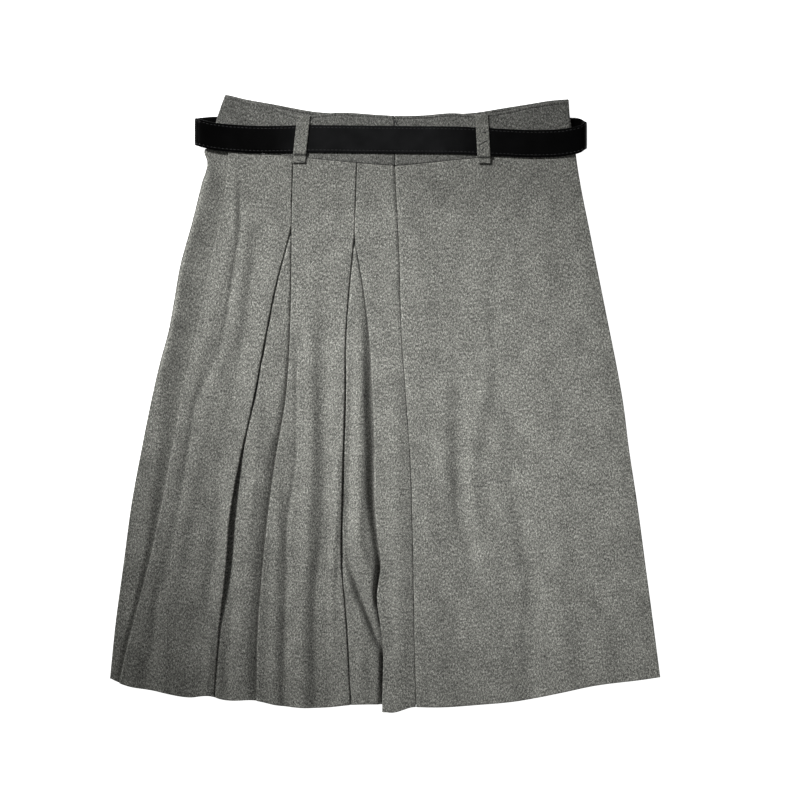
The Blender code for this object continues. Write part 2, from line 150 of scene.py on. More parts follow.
def flannel(name, tint):
    """Flannel's material: heather over the cloth's own distances, matt, with its nap raised a little."""
    made, tree, shader = new_material(
        name, {"Roughness": 0.95, "Specular IOR Level": 0.15, "Sheen Weight": 0.08, "Sheen Roughness": 0.6}
    )
    place = add_node(tree, "ShaderNodeTexCoord").outputs["UV"]
    cloth = add_node(tree, "ShaderNodeGroup", {"Place": place, "Tint": (*tint, 1.0)}, node_tree=heather)
    tree.links.new(cloth.outputs["Colour"], shader.inputs["Base Color"])
    raise_surface(tree, shader, cloth.outputs["Nap"], NAP_STRENGTH, NAP_HEIGHT)
    return made


panel_flannel = flannel("panel_flannel", (1.0, 1.0, 1.0))

# The back panel: one piece of flannel as wide as the skirt, which lies flat on the surface below everything
# else. It is sewn to the front panels down both sides, and to the back waistband behind the belt.
MM = 0.001
LENGTH = 617.0  # from the waist's highest corner to the hem's lowest point
CLOTH = 1.2  # the flannel wall
BAND = 2.0  # the waistband, two layers of flannel with a stiffener
GAP = 0.4  # between folded layers of one piece
SEAM = 0.3  # between two pieces that are sewn or lie together
WAIST_SEAM = 0.12  # the same along the curved waist seam
STRAP = 2.2  # the belt leather's thickness
LAP = 50.0  # how far the belt's two ends lie over each other
LAYER = CLOTH + GAP
STRAP_BACK_HEIGHT = CLOTH + SEAM + STRAP / 2
BAND_BACK_HEIGHT = STRAP_BACK_HEIGHT + STRAP / 2 + SEAM + BAND / 2
LAP_RISE = STRAP + SEAM
LAP_REACH = 130.0  # how far from the middle the waist rises over the lapped ends
WAIST_DEPTH = 55.0
WAIST_FALL = 64.0  # how far below the waist the skirt comes down to the surface
BACK_SHORT = 2.0  # how much shorter the back panel is than the front
PANEL_ROWS = 125
RIM = 0.25  # how far a wall's rim stands out between its skins
SIDE_TURN = 0.8  # how wide the rounded edge at a side seam is
EDGE_CROWDING = 0.72  # how much closer the rows lie at the waist and the hem than between them

# The skirt's two sides, a row for each level: down, left and right
OUTLINE = np.array((
    (0, -159.8, 183.2), (20, -166.8, 184.2), (45, -174, 188), (58, -180.5, 190.2), (66, -178, 191.2),
    (90, -183.8, 195.2), (130, -193.8, 203.2), (170, -204.8, 211.2), (210, -211.8, 219.2),
    (235, -216.4, 224.2), (270, -225.8, 231.2), (310, -234.8, 238.2), (350, -242.8, 243.2),
    (410, -253.8, 252.2), (470, -261.8, 260.2), (530, -269.8, 268.2), (584, -275.2, 275.2),
))

# The waistband's edges, a row for each place across: how far down each one lies
WAIST_COLUMNS = ("across", "front_top", "back_top", "front_seam", "back_seam")
WAIST = np.array((
    (-180, 1.5, 0, 54, 54), (-160, 1.5, 0, 55.5, 55.5), (-140, 5.8, 4.5, 57.2, 57.1),
    (-112, 12.2, 9.5, 60.2, 59.7), (-89, 20.4, 14, 62.8, 61.6), (-72, 20.6, 17, 64.4, 62.9),
    (-50, 18.4, 18.8, 66.5, 64.3), (-5, 20.6, 21.2, 70.2, 65.9), (10, 21.4, 22, 71, 66),
    (38, 21, 21.8, 68.8, 65.6), (65, 18.8, 19.8, 66, 64.3), (92, 19.8, 17.8, 63.6, 62.2),
    (115, 17.4, 14, 61.2, 60), (145, 11, 9.2, 57.8, 57.3), (165, 7.8, 6, 55.6, 55.5),
    (184, 6, 4.5, 53.8, 53.8),
))

# The hem, a row for each place: across and down
HEM = np.array((
    (-275, 583), (-263, 588.6), (-230, 595.4), (-196, 602), (-174, 601), (-164, 604.3), (-131, 605),
    (-110, 609.5), (-57, 612), (-35, 609.5), (-5, 609), (30, 611.5), (55, 612), (95, 609.5), (135, 605.6),
    (177, 597.4), (205, 591.4), (260, 584.2), (275, 582),
))

# The back's soft folds, which everything above them follows a little: for each, rows of how far down, how far
# across, half its width and its height there
BACK_CREASES = (
    ((150, -120, 26, 0), (300, -140, 28, 0.7), (450, -168, 28, 0.6), (617, -190, 28, 0.2)),
    ((180, -30, 24, 0), (340, -38, 26, 0.8), (500, -62, 26, 0.4), (617, -70, 26, 0.2)),
    ((160, 60, 26, 0), (330, 74, 28, 0.7), (520, 82, 26, 0.5), (617, 86, 26, 0.2)),
    ((190, 150, 24, 0), (380, 176, 28, 0.8), (560, 204, 26, 0.4), (617, 212, 26, 0.2)),
)


def ease(share):
    """Nought below a share of 0, one above a share of 1, and a smooth rise between."""
    share = np.clip(share, 0.0, 1.0)
    return share * share * (3.0 - 2.0 * share)


def curve_through(places, values, at):
    """A smooth curve through the values at their places, held level past both ends."""
    at = np.clip(at, places[0], places[-1])
    slope = np.gradient(values, places)
    before = np.clip(np.searchsorted(places, at) - 1, 0, len(places) - 2)
    step = places[before + 1] - places[before]
    share = (at - places[before]) / step
    rest = 1.0 - share
    start = values[before] * (1.0 + 2.0 * share) * rest**2 + slope[before] * step * share * rest**2
    end = values[before + 1] * (3.0 - 2.0 * share) * share**2
    return start + end - slope[before + 1] * step * rest * share**2


def side(down, right):
    """Where the outer face of the skirt's left or right side lies across."""
    return curve_through(OUTLINE[:, 0], OUTLINE[:, 2 if right else 1], down)


def waist_edge(across, name):
    """How far down one of the waistband's edges lies."""
    return curve_through(WAIST[:, 0], WAIST[:, WAIST_COLUMNS.index(name)], across)


def creases_height(creases, across, down):
    """Ridges and troughs added up: each is a bell across its line, as wide and as high as its rows say."""
    total = np.zeros(np.broadcast(across, down).shape)
    for rows in creases:
        places, middle, half_width, height = np.array(rows).T
        offset = (across - curve_through(places, middle, down)) / curve_through(places, half_width, down)
        total += np.interp(down, places, height, left=0.0, right=0.0) * np.exp(-(offset**2))
    return total


def over_lap(across):
    """The rise of everything at the waist over the belt's lapped ends."""
    return LAP_RISE * ease((LAP_REACH - np.abs(across)) / (LAP_REACH - LAP))


def at_waist(down):
    """One at the waist seam, and nought where the skirt lies flat on the surface."""
    return 1.0 - ease((down - WAIST_DEPTH) / WAIST_FALL)


def back_height(across, down):
    """The middle of the back panel: flat on the surface, lifted at the waist by the belt, and creased."""
    lifted = at_waist(down) * (BAND_BACK_HEIGHT - CLOTH / 2 + over_lap(across))
    return CLOTH / 2 + lifted + creases_height(BACK_CREASES, across, down)


def crowded(points, crowding):
    """Shares from 0 to 1 that lie closer together at both ends."""
    share = np.linspace(0.0, 1.0, points)
    return share - crowding * np.sin(2.0 * np.pi * share) / (2.0 * np.pi)


def panel_places(across_of, seam, drop, short):
    """Places across and down of a panel's grid, from its waist seam to the hem, found step by step."""
    share = crowded(PANEL_ROWS, EDGE_CROWDING)[:, None]
    down = WAIST_DEPTH + share * (LENGTH - WAIST_DEPTH) + 0.0 * drop
    for _ in range(5):
        across = across_of(down)
        top = waist_edge(across, seam) + WAIST_SEAM / 2 + RIM
        down = top + share * (curve_through(HEM[:, 0], HEM[:, 1], across) + drop - short - RIM - top)
    return across, down


def side_turn(points, right, other, steps=6):
    """The grid with its edge rounded to a side seam, midway to the other wall's height."""
    edge = points[:, -1 if right else 0]
    depth = (edge[:, 2] - other) / 2
    depth = depth - np.sign(depth) * (SEAM / 2 + RIM)
    angle = np.linspace(0.0, np.pi / 2, steps)[None, 1:]
    turned = np.repeat(edge[:, None], steps - 1, axis=1)
    turned[:, :, 0] += (SIDE_TURN if right else -SIDE_TURN) * np.sin(angle)
    turned[:, :, 2] -= depth[:, None] * (1.0 - np.cos(angle))
    return np.concatenate((points, turned) if right else (turned[:, ::-1], points), axis=1)


def to_world(points):
    """Across, down and height made X, Y and Z in metres."""
    return np.stack((points[..., 0], LENGTH / 2 - points[..., 1], points[..., 2]), axis=-1) * MM


def unit(vectors):
    """The vectors made one long."""
    return vectors / np.maximum(np.linalg.norm(vectors, axis=-1, keepdims=True), 1e-12)


def grid_normals(world):
    """The way that a grid faces at each point: its step down the rows crossed with its step along them."""
    return unit(np.cross(unit(np.gradient(world, axis=0)), unit(np.gradient(world, axis=1))))


def cloth_places(world):
    """Each grid point's distance along its row and down its column: the cloth laid out flat, in metres."""
    along = np.linalg.norm(np.diff(world, axis=1), axis=-1)
    down = np.linalg.norm(np.diff(world, axis=0), axis=-1)
    along = np.concatenate((np.zeros((len(world), 1)), np.cumsum(along, axis=1)), axis=1)
    down = np.concatenate((np.zeros((1, world.shape[1])), np.cumsum(down, axis=0)), axis=0)
    return np.stack((along - along[:, along.shape[1] // 2, None], down), axis=-1)


def grid_faces(index):
    """The faces between neighbours in a grid of corner numbers."""
    around = (index[:-1, :-1], index[1:, :-1], index[1:, 1:], index[:-1, 1:])
    return np.stack(around, axis=-1).reshape(-1, 4)


def new_piece(name, corners, faces, material):
    """A smooth object made of corners in metres and faces, which belongs to the skirt's one body."""
    mesh = bpy.data.meshes.new(name)
    mesh.from_pydata(corners, [], faces)
    mesh.materials.append(material)
    mesh.shade_smooth()
    piece = bpy.data.objects.new(name, mesh)
    bpy.context.scene.collection.objects.link(piece)
    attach(piece, "root")
    return piece


def wall(name, points, thickness, material, front_relief=0.0, back_relief=0.0):
    """A grid of points across, down and up made a closed wall about it, with a rounded rim.

    Each skin lies half the thickness, and its own relief, from the grid along the grid's normals. Between
    the skins' edges runs a rim that stands out RIM further. The UV map is the cloth laid out flat, in metres.
    """
    world = to_world(points)
    normals = grid_normals(world)
    front = world + normals * ((thickness / 2 + front_relief) * MM + np.zeros(points.shape[:2]))[..., None]
    behind = world - normals * ((thickness / 2 + back_relief) * MM + np.zeros(points.shape[:2]))[..., None]
    rows, columns = points.shape[:2]
    index = np.arange(rows * columns).reshape(rows, columns)
    rim = np.concatenate((index[:-1, 0], index[-1, :-1], index[:0:-1, -1], index[0, :0:-1]))
    edge, facing = world.reshape(-1, 3)[rim], normals.reshape(-1, 3)[rim]
    onward = np.roll(edge, -1, axis=0) - np.roll(edge, 1, axis=0)
    outer = edge + unit(np.cross(onward, facing)) * RIM * MM
    skin = grid_faces(index)
    ring = 2 * rows * columns + np.arange(len(rim))
    upper, lower = rim, rim + rows * columns
    faces = np.concatenate(
        (
            skin,
            skin[:, ::-1] + rows * columns,
            np.stack((upper, ring, np.roll(ring, -1), np.roll(upper, -1)), axis=-1),
            np.stack((ring, lower, np.roll(lower, -1), np.roll(ring, -1)), axis=-1),
        )
    )
    corners = np.concatenate((front.reshape(-1, 3), behind.reshape(-1, 3), outer))
    piece = new_piece(name, corners.tolist(), faces.tolist(), material)
    places = cloth_places(world).reshape(-1, 2)
    places = np.concatenate((places, places, places[rim])).astype(np.float32)
    corner_index = np.empty(len(piece.data.loops), dtype=np.int32)
    piece.data.loops.foreach_get("vertex_index", corner_index)
    piece.data.uv_layers.new(name="UVMap").data.foreach_set("uv", places[corner_index].ravel())
    return piece


def cloth_wall(name, points, material):
    """A panel of flannel: a wall of its thickness."""
    piece = wall(name, points, CLOTH, material)
    return piece


def side_line(right, thickness=CLOTH):
    """Where a wall's middle starts to turn to the side seam."""
    inward = thickness / 2 + SIDE_TURN
    return lambda down: side(down, right) + (-inward if right else inward)


def spanned(start, end, along):
    """Places across that go from one line to another, each line given for how far down it is."""
    return lambda down: start(down) * (1.0 - along) + end(down) * along


# The pleated front: one piece of flannel from the left side to the centre seam. Its cloth goes to and fro in
# three layers: a knife pleat by the side, then two inverted pleats, stitched shut at the top and open below.
PLEAT_LINES = {
    "side_edge": (
        (70, -157), (130, -165.8), (155, -171.8), (205, -181.8), (285, -199.8), (325, -207.5),
        (395, -220.5), (445, -230.5), (500, -244), (555, -258.5), (600, -268),
    ),
    "outer_left": (
        (68, -92.05), (110, -93.35), (134, -94), (141, -95.6), (150, -98), (190, -108.8), (245, -119.8),
        (305, -131.2), (365, -144.8), (415, -153.8), (475, -158.8), (535, -165.8), (600, -171),
    ),
    "outer_right": (
        (68, -91.95), (110, -93.25), (135, -93.7), (150, -93.7), (215, -94.6), (305, -99.8), (365, -109.8),
        (425, -117.8), (475, -122.8), (525, -126.8), (600, -128.8),
    ),
    "centre_left": (
        (71, -28.35), (110, -29.65), (140, -30.6), (150, -31.5), (190, -35.5), (235, -39), (305, -40.2),
        (405, -43.2), (465, -43.8), (515, -39.8), (600, -34.8),
    ),
    "centre_right": (
        (71, -28.25), (110, -29.55), (142, -30.5), (150, -29.8), (162, -27.4), (235, -16.8), (305, -12.4),
        (345, -10.8), (405, -10.8), (440, -8), (470, -4.8), (500, -8.4), (545, -2.8), (608, -3.2),
    ),
    "centre_seam": (
        (58, 9.2), (85, 10.2), (155, 13.8), (245, 16.4), (305, 20.8), (365, 24.8), (445, 27.2), (535, 28.8),
        (611, 30.8),
    ),
}

# The folds from left to right, and which way the cloth lies from each one's outer edge
EDGE_FACES = {
    "side_edge": 1.0,
    "outer_left": -1.0,
    "outer_right": 1.0,
    "centre_left": -1.0,
    "centre_right": 1.0,
}

# How far the cloth is turned under each fold's edge before it comes back, at the waist and at the hem, and
# how many columns of points the layer under the edge and the stretch after it have
TURNED_UNDER = {
    "side_edge": (27.0, 38.0, 4, 66),
    "outer_left": (27.0, 38.0, 5, 46),
    "outer_right": (26.0, 38.0, 5, 62),
    "centre_left": (26.0, 36.0, 5, 46),
    "centre_right": (27.0, 27.0, 5, 28),
}

# How high each fold's lip stands above the flat cloth: rows of how far down and how high, and its reach
LIPS = {
    "side_edge": (((70, 0), (130, 0.2), (285, 0.7), (340, 1.4), (430, 1.8), (555, 1.2), (617, 0.6)), 7),
    "outer_left": (
        (
            (138, 0), (245, 0.4), (340, 1), (375, 2), (440, 3.2), (475, 2.2), (520, -0.8), (560, -2.6),
            (617, -3),
        ),
        9,
    ),
    "outer_right": (((138, 0), (300, 0.3), (460, 0.8), (520, 1), (617, 0.8)), 6),
    "centre_left": (((148, 0), (300, 0.6), (400, 1.2), (470, 1.4), (540, 0.8), (617, 0.6)), 7),
    "centre_right": (((150, 0), (235, 0.3), (300, 0.6), (400, 0.8), (617, 0.6)), 15),
}

# The top layer's ridges and troughs, each in rows of how far down, how far across, half its width and its
# height
TOP_CREASES = (
    (
        (225, 2, 8, 0), (305, 8, 9, 1.8), (405, 13, 10, 3), (470, 15, 10, 3), (545, 16, 9, 2.2),
        (617, 17, 9, 1.2),
    ),
    (
        (190, -177, 8, 0), (290, -190.5, 7, 1.8), (375, -207, 7, 2), (440, -220, 7, 2), (500, -234, 7, 1.8),
        (555, -247, 6, 1.6), (617, -256, 6, 1.4),
    ),
    (
        (75, -145.5, 3, 0), (110, -145.2, 2.5, -1.4), (131, -144.7, 2.2, -2), (165, -149.6, 2.5, -2),
        (205, -155.3, 3, -1.8), (255, -165, 3.5, -1.3), (305, -188.5, 3.5, -1.1), (350, -196, 3.5, -1),
        (410, -205.3, 3.5, -0.8), (455, -213.5, 4, -0.6), (510, -221.5, 4, 0),
    ),
    ((75, -152.5, 5, 0), (95, -151, 4, 1.8), (115, -151, 4, 1.8), (140, -152.5, 5, 0.7), (160, -155, 6, 0)),
    ((150, -168, 8, 0), (190, -170, 8, 1.2), (225, -172, 8, 1.2), (255, -178, 8, 0)),
    (
        (110, -139.5, 5, 0), (135, -139, 5, 0.9), (157, -139.3, 5, 1.1), (195, -145.1, 5.5, 1.2),
        (255, -156, 7, 1.3), (295, -174.6, 8, 1.5), (345, -183.3, 9, 2), (392, -193.8, 9, 2.2),
        (425, -200.8, 9, 2), (475, -210.3, 9, 1.6), (530, -217.5, 9, 1.1), (617, -221.5, 9, 0.9),
    ),
    (
        (100, -119, 6, 0), (160, -129.5, 5, -0.6), (185, -134.3, 5, -1), (215, -137.3, 5, -1.3),
        (245, -140.8, 6, -1.2), (305, -153.8, 6, -0.8), (325, -157.8, 6, -0.9), (380, -166.3, 7, -1.4),
        (445, -168.8, 7, -2.6), (505, -176, 7, -2.4), (617, -186, 7, -1.8),
    ),
    ((130, -114, 8, 0), (180, -116, 8, 1.2), (220, -120, 8, 1.2), (300, -132, 8, 1.2), (360, -142.5, 7, 0)),
    (
        (485, -227, 4, 0), (512, -228.8, 4, -1.6), (550, -231.8, 4, -1.6), (575, -237.3, 5, -1.4),
        (617, -240.5, 5, -0.9),
    ),
    ((500, -219, 6, 0), (530, -219.8, 6, 1.8), (580, -221, 6, 1.6), (617, -223, 6, 1.3)),
    ((490, -187, 8, 0), (520, -188.8, 8, -1.8), (575, -195.8, 8, -1.6), (617, -200, 8, -1.1)),
    ((520, -175, 6, 0), (555, -176, 6, 1.8), (600, -179, 6, 1.8), (617, -180, 6, 1.4)),
    ((318, -159, 1.6, 0), (325, -159, 1.6, -1.1), (332, -159, 1.6, 0)),
    ((400, -178, 2, 0), (412, -178.8, 2, -1.3), (425, -179.5, 2, 0)),
    (
        (240, -88.5, 3, 0), (292, -88.5, 2.5, -1.3), (370, -89.5, 2.5, -1.4), (425, -97.3, 3, -1.8),
        (480, -98.3, 3, -1.8), (512, -99, 3.8, -2.6), (595, -99.8, 5, -3.6), (617, -100, 5, -3.6),
    ),
    (
        (370, -109.5, 5, 0), (397, -107.3, 5, 2.3), (417, -107.3, 5, 2.5), (465, -108, 5, 2.2),
        (510, -109.5, 5, 1.8), (560, -110.5, 6, 2), (617, -111, 6, 2),
    ),
    (
        (190, -76, 8, 0), (267, -74.3, 7, 2.5), (355, -74.3, 7, 3.2), (405, -76, 7.5, 3.6),
        (465, -78.8, 8, 3.2), (530, -80.8, 8, 3.2), (617, -81, 8, 3.2),
    ),
    (
        (180, -58, 8, 0), (255, -60.8, 8, -1.6), (317, -60.8, 8, -2.2), (405, -58.8, 8, -3.2),
        (455, -60.5, 8.5, -4), (505, -64.3, 10, -5.4), (545, -62.3, 11, -6), (617, -61.5, 12, -5.8),
    ),
    (
        (340, -48, 4, 0), (385, -48, 3.5, 2.2), (420, -49, 3.5, 2.7), (467, -52, 3.5, 2.9),
        (492, -53, 3.5, 2.5), (545, -53.8, 4, 1.8), (600, -54, 4, 0.7),
    ),
    ((215, -81.5, 3, 0), (240, -81.3, 3, -0.9), (265, -81.3, 3, 0)),
    ((195, -54.5, 3, 0), (205, -54.3, 3, -0.9), (215, -54.5, 3, 0)),
    ((175, -84, 4, 0), (195, -83.8, 4, 1.1), (215, -83, 4, 0)),
    ((575, -118, 8, 0), (600, -118, 8, -1.4), (617, -118, 8, -1.4)),
)

# The cloth that shows inside each open pleat: how high it swells, how wide its flanks are, and its creases
OPENINGS = {
    "outer": {
        "swell": (
            (112, 0), (134, 3.8), (150, 4.8), (165, 5.2), (200, 5.8), (260, 6.2), (330, 6.8), (400, 7.4),
            (470, 7.6), (540, 6.8), (617, 6.4),
        ),
        "flanks": (((138, 24), (617, 24)), ((138, 3), (300, 6), (380, 10), (617, 10))),
        "closed_left": ((138, 1), (320, 1), (420, 0.1), (470, 0.05), (510, 0.25), (550, 0.45), (617, 0.5)),
        "closed_right": ((138, 1), (230, 1), (300, 0.7), (360, 0.5), (617, 0.45)),
        "creases": (
            (
                (300, -125, 6, 0), (345, -129.5, 5, 1.4), (400, -133.5, 5, 2.2), (440, -135.5, 5, 1.4),
                (500, -139, 6, 0),
            ),
            ((460, -150, 6, 0), (500, -154, 6, -3.5), (540, -156.5, 7, -7.2), (617, -160.5, 8, -7.6)),
            ((520, -142, 8, 0), (560, -143, 8, 1.2), (617, -145, 8, 1.2)),
        ),
    },
    "centre": {
        "swell": (
            (122, 0), (142, 4), (160, 5), (175, 5.4), (200, 5.8), (260, 6.2), (330, 6.8), (420, 7.8),
            (480, 7.6), (540, 7), (617, 6.4),
        ),
        "flanks": (
            ((150, 3), (300, 6), (400, 9), (460, 8), (500, 4), (617, 3)),
            ((150, 8), (240, 8), (300, 11), (360, 11), (430, 9), (470, 7), (520, 4.8), (617, 5)),
        ),
        "closed_left": (
            (150, 1), (220, 1), (300, 0.9), (370, 0.8), (450, 0.8), (480, 0.85), (540, 0.9), (617, 0.9),
        ),
        "closed_right": ((150, 1), (200, 0.9), (245, 0.3), (290, 0), (617, 0)),
        "creases": (
            (
                (230, -28, 6, 0), (305, -26, 6, 2.2), (400, -25.5, 6, 3.2), (455, -24.8, 6, 3.6),
                (470, -19.8, 6, 3.6), (500, -10.5, 5, 2.9), (535, -4.5, 5, 0),
            ),
            (
                (455, -39, 4, 0), (470, -35, 4.5, -6), (495, -26, 4.8, -9.4), (530, -13, 3.8, -8.4),
                (548, -6.5, 3, -5), (556, -4, 3, 0),
            ),
            (
                (470, -42, 4, 0), (495, -34, 4.5, 2.4), (530, -19.5, 5, 2.6), (560, -9.5, 5, 1.4),
                (590, -6, 5, 0),
            ),
            (
                (240, -33, 4, 0), (310, -34, 4.5, -3), (400, -36.5, 5, -3.8), (455, -37.5, 5, -3.4),
                (475, -38, 4, 0),
            ),
            ((515, -24.5, 6, 0), (545, -23.5, 6, 1.8), (590, -23.3, 6, 1.4), (617, -22.5, 6, 1)),
        ),
    },
}
LOFT = 3.0  # how far the top layer stands off the folds below it, away from the waist
LOFT_FALL = 160.0
CREASE_SOFTNESS = 0.8  # how softly a trough stops at the layer below
STRIP_DROP = 7.6  # the extra length of the strip beside the centre seam, which hangs lowest
STRIP_LEVEL = 0.2  # the share of the strip that hangs level by its fold
TURN_STEPS = 7
INNER_TURN_STEPS = 5
SIDE_COLUMNS = 60
RUN_CROWDING = 0.6
INSIDE_CROWDING = -0.5
PINCH_DOWN = 233.0
PINCH_SLOPE = 0.14
PINCH_LENGTH = 44.0
PINCH_WIDTH = 5.0
PINCH_RIDGE = 2.2
PINCH_TROUGH = 2.0
SHOULDER_DEPTH = 190.0
SHOULDER_FALL = 130.0
SHOULDER_REACH = 16.0
# How high the cloth beyond the side's fold swells, a row for each level: how far down and how high
SIDE_SWELL = (
    (66, 0), (90, 2.8), (115, 4), (145, 4.4), (205, 4.8), (270, 4.6), (330, 4.2), (430, 3.4), (500, 2.6),
    (560, 1.6), (617, 0.8),
)
# How wide that swell's slope down to the edge is
SIDE_FLANK = ((66, 14), (115, 23), (150, 28), (205, 28), (280, 24), (340, 16), (430, 9), (500, 6), (617, 4))
SIDE_RISE = 0.8  # the front's lift beside the side seams
SIDE_REACH = 14.0
SEAM_DIP = 1.3
SEAM_REACH = 1.8
UNDER_FOLD = 0.42
CLOSED_WIDTH = 1.5
UNDER_REACH = 7.0  # how far a fold's under layer follows its lip


def edge_line(name, down):
    """Where a fold's outer edge or the centre seam lies across."""
    places, across = np.array(PLEAT_LINES[name]).T
    return curve_through(places, across, down)


def edge_cloth(name, down):
    """Where the middle of the cloth lies at a fold's edge."""
    return edge_line(name, down) + EDGE_FACES[name] * (GAP / 2 + CLOTH / 2)


def inner_cloth(name, down):
    """Where the middle of the cloth lies at the turn under a fold, where it comes back."""
    waist_depth, hem_depth = TURNED_UNDER[name][:2]
    depth = waist_depth + (hem_depth - waist_depth) * down / LENGTH
    return edge_cloth(name, down) + EDGE_FACES[name] * depth


def seam_face(way):
    """Where the cloth's middle ends beside the centre seam: on its left for -1, on its right for 1."""
    return lambda down: edge_line("centre_seam", down) + way * (SEAM / 2 + RIM)


def side_pinch(across, down):
    """The short sideways crease by the left side, where the cloth was folded over: a trough below a ridge."""
    line = PINCH_DOWN + PINCH_SLOPE * (across - side(down, right=False))
    reach = 1.0 - ease((across - side(down, right=False) - PINCH_LENGTH * 0.5) / (PINCH_LENGTH * 0.5))
    offset = (down - line) / PINCH_WIDTH
    return reach * (PINCH_RIDGE * np.exp(-((offset + 1.4) ** 2)) - PINCH_TROUGH * np.exp(-(offset**2)))


def lip_height(name, across, down):
    """The rise of a fold's lip: highest at its edge, and gone a little way in."""
    rows, reach = LIPS[name]
    places, height = np.array(rows).T
    inward = EDGE_FACES[name] * (across - edge_line(name, down))
    return np.interp(down, places, height) * np.exp(-((inward / reach) ** 2)) * (inward > -2.0)


def seam_dip(across, down):
    """The narrow dip along the centre seam: deepest at the waist and shallow at the hem."""
    beyond = (across - edge_line("centre_seam", down)) / SEAM_REACH
    return SEAM_DIP * (1.0 - 0.66 * ease((down - 170.0) / 90.0)) * np.exp(-(beyond**2))


def top_height(across, down):
    """The middle of the pleated front's top layer: its loft and creases, never below the layers under it."""
    lifted = LOFT * ease((down - WAIST_DEPTH) / LOFT_FALL) + creases_height(TOP_CREASES, across, down)
    lifted = (lifted + np.sqrt(lifted**2 + CREASE_SOFTNESS**2) - CREASE_SOFTNESS * at_waist(down)) / 2
    for name in LIPS:
        lifted = lifted + lip_height(name, across, down)
    inward = across - edge_line("side_edge", down)
    rounded = (1.0 - ease((down - SHOULDER_DEPTH) / SHOULDER_FALL)) * (1.0 - ease(inward / SHOULDER_REACH))
    lifted = lifted * (1.0 - 0.9 * rounded) + side_pinch(across, down)
    return back_height(across, down) + 3 * LAYER + lifted - seam_dip(across, down)


def middle_height(name):
    """The middle of the layer turned under a fold: it follows the lip at its edge, and is flat further in."""

    def height(across, down):
        edge = edge_cloth(name, down)
        flat = back_height(across, down) + 2 * LAYER
        lip = top_height(edge + EDGE_FACES[name] * LAYER / 2, down) - LAYER
        lip = lip - back_height(edge, down) - 2 * LAYER
        return flat + lip * np.exp(-(((across - edge) / UNDER_REACH) ** 2))

    return height


def beside_fold(beyond, flank, closed, down):
    """The share of its swell that the cloth inside a pleat has beside one of the pleat's edges.

    Where the pleat is open there, it rises evenly over the flank. Where it is closed, it stands up against
    the edge, UNDER_FOLD of the way even below it, and is level with it CLOSED_WIDTH beyond.
    """
    places, share = np.array(closed).T
    shut = np.interp(down, places, share)
    below = UNDER_FOLD * np.exp(-((np.minimum(beyond, 0.0) / 6.0) ** 2))
    against = below + (1.0 - UNDER_FOLD) * ease(beyond / CLOSED_WIDTH)
    return shut * against + (1.0 - shut) * ease(beyond / flank)


def lowest_height(across, down):
    """The middle of the pleated front's lowest layer: raised by the side, and swollen in the open pleats."""
    height = back_height(across, down) + LAYER
    height = height + SIDE_RISE * (1.0 - ease((across - side(down, right=False)) / SIDE_REACH))
    beyond = edge_line("side_edge", down) - across
    height = height + side_pinch(across, down) * ease(beyond / 4.0)
    inward = across - side(down, right=False)
    flank = np.interp(down, *np.array(SIDE_FLANK).T)
    swell = np.interp(down, *np.array(SIDE_SWELL).T) * ease((beyond - 0.4) / flank)
    height = height + swell * ease(inward / np.maximum(inward + beyond - flank, 4.0))
    for pleat, opening in OPENINGS.items():
        left, right = edge_line(pleat + "_left", down), edge_line(pleat + "_right", down)
        width = np.maximum(right - left, 1.0)
        flank_left, flank_right = (
            np.minimum(np.interp(down, *np.array(rows).T), 0.7 * width) for rows in opening["flanks"]
        )
        inside = beside_fold(across - left, flank_left, opening["closed_left"], down)
        inside = inside * beside_fold(right - across, flank_right, opening["closed_right"], down)
        places, swell = np.array(opening["swell"]).T
        base = np.interp(down, places, swell)
        swollen = base + creases_height(opening["creases"], across, down)
        swollen = (swollen + np.sqrt(swollen**2 + np.minimum(base, CREASE_SOFTNESS) ** 2)) / 2
        height = height + inside * swollen
    return height


def run(start, end, columns, height, crowding=RUN_CROWDING, strip=None):
    """A flat stretch of the folded cloth between two lines, with more columns near them."""
    along = crowded(columns, crowding)[None, :]
    drop = 0.0 * along if strip is None else STRIP_DROP * strip(along)
    across, down = panel_places(spanned(start, end, along), "front_seam", drop, 0.0)
    return np.stack((across, down, height(across, down)), axis=-1)


def turn(line, way, above, below, strip=0.0, steps=TURN_STEPS):
    """A fold: half a circle round the cloth's edge line, from the layer above to the layer below or back."""
    angle = np.linspace(0.0, np.pi, steps)[None, 1:-1]
    reach = LAYER / 2 * (np.sin(angle) - 1.0)
    drop = strip * STRIP_DROP + 0.0 * reach
    across, down = panel_places(lambda place: line(place) + way * reach, "front_seam", drop, 0.0)
    level = line(down) - way * LAYER / 2
    start, end = above(level, down), below(level, down)
    return np.stack((across, down, (start + end) / 2 + (start - end) / 2 * np.cos(angle)), axis=-1)


def moved(line, name, way):
    """A fold's line, moved by the turn's radius."""
    return lambda down: line(name, down) + way * LAYER / 2


def fold_grids(name, strip=None):
    """The cloth at a fold, left to right: its turn at the edge, the layer under it and its inner turn."""
    face, columns = EDGE_FACES[name], TURNED_UNDER[name][2]
    middle = middle_height(name)
    outer_heights, inner_heights = (middle, top_height)[:: int(face)], (lowest_height, middle)[:: int(face)]
    hanging = 0.0 if strip is None else 1.0
    outer = turn(lambda down: edge_cloth(name, down), -face, *outer_heights, hanging)
    inner = turn(lambda down: inner_cloth(name, down), face, *inner_heights, steps=INNER_TURN_STEPS)
    lines = (moved(inner_cloth, name, -face), moved(edge_cloth, name, face))[:: int(face)]
    return (inner, run(*lines, columns, middle, strip=strip), outer)[:: int(face)]


def strip_hang(along):
    """How much of the strip's extra length it has: all by the fold, and none at the centre seam."""
    return 1.0 - ease((along - STRIP_LEVEL) / (1.0 - STRIP_LEVEL))


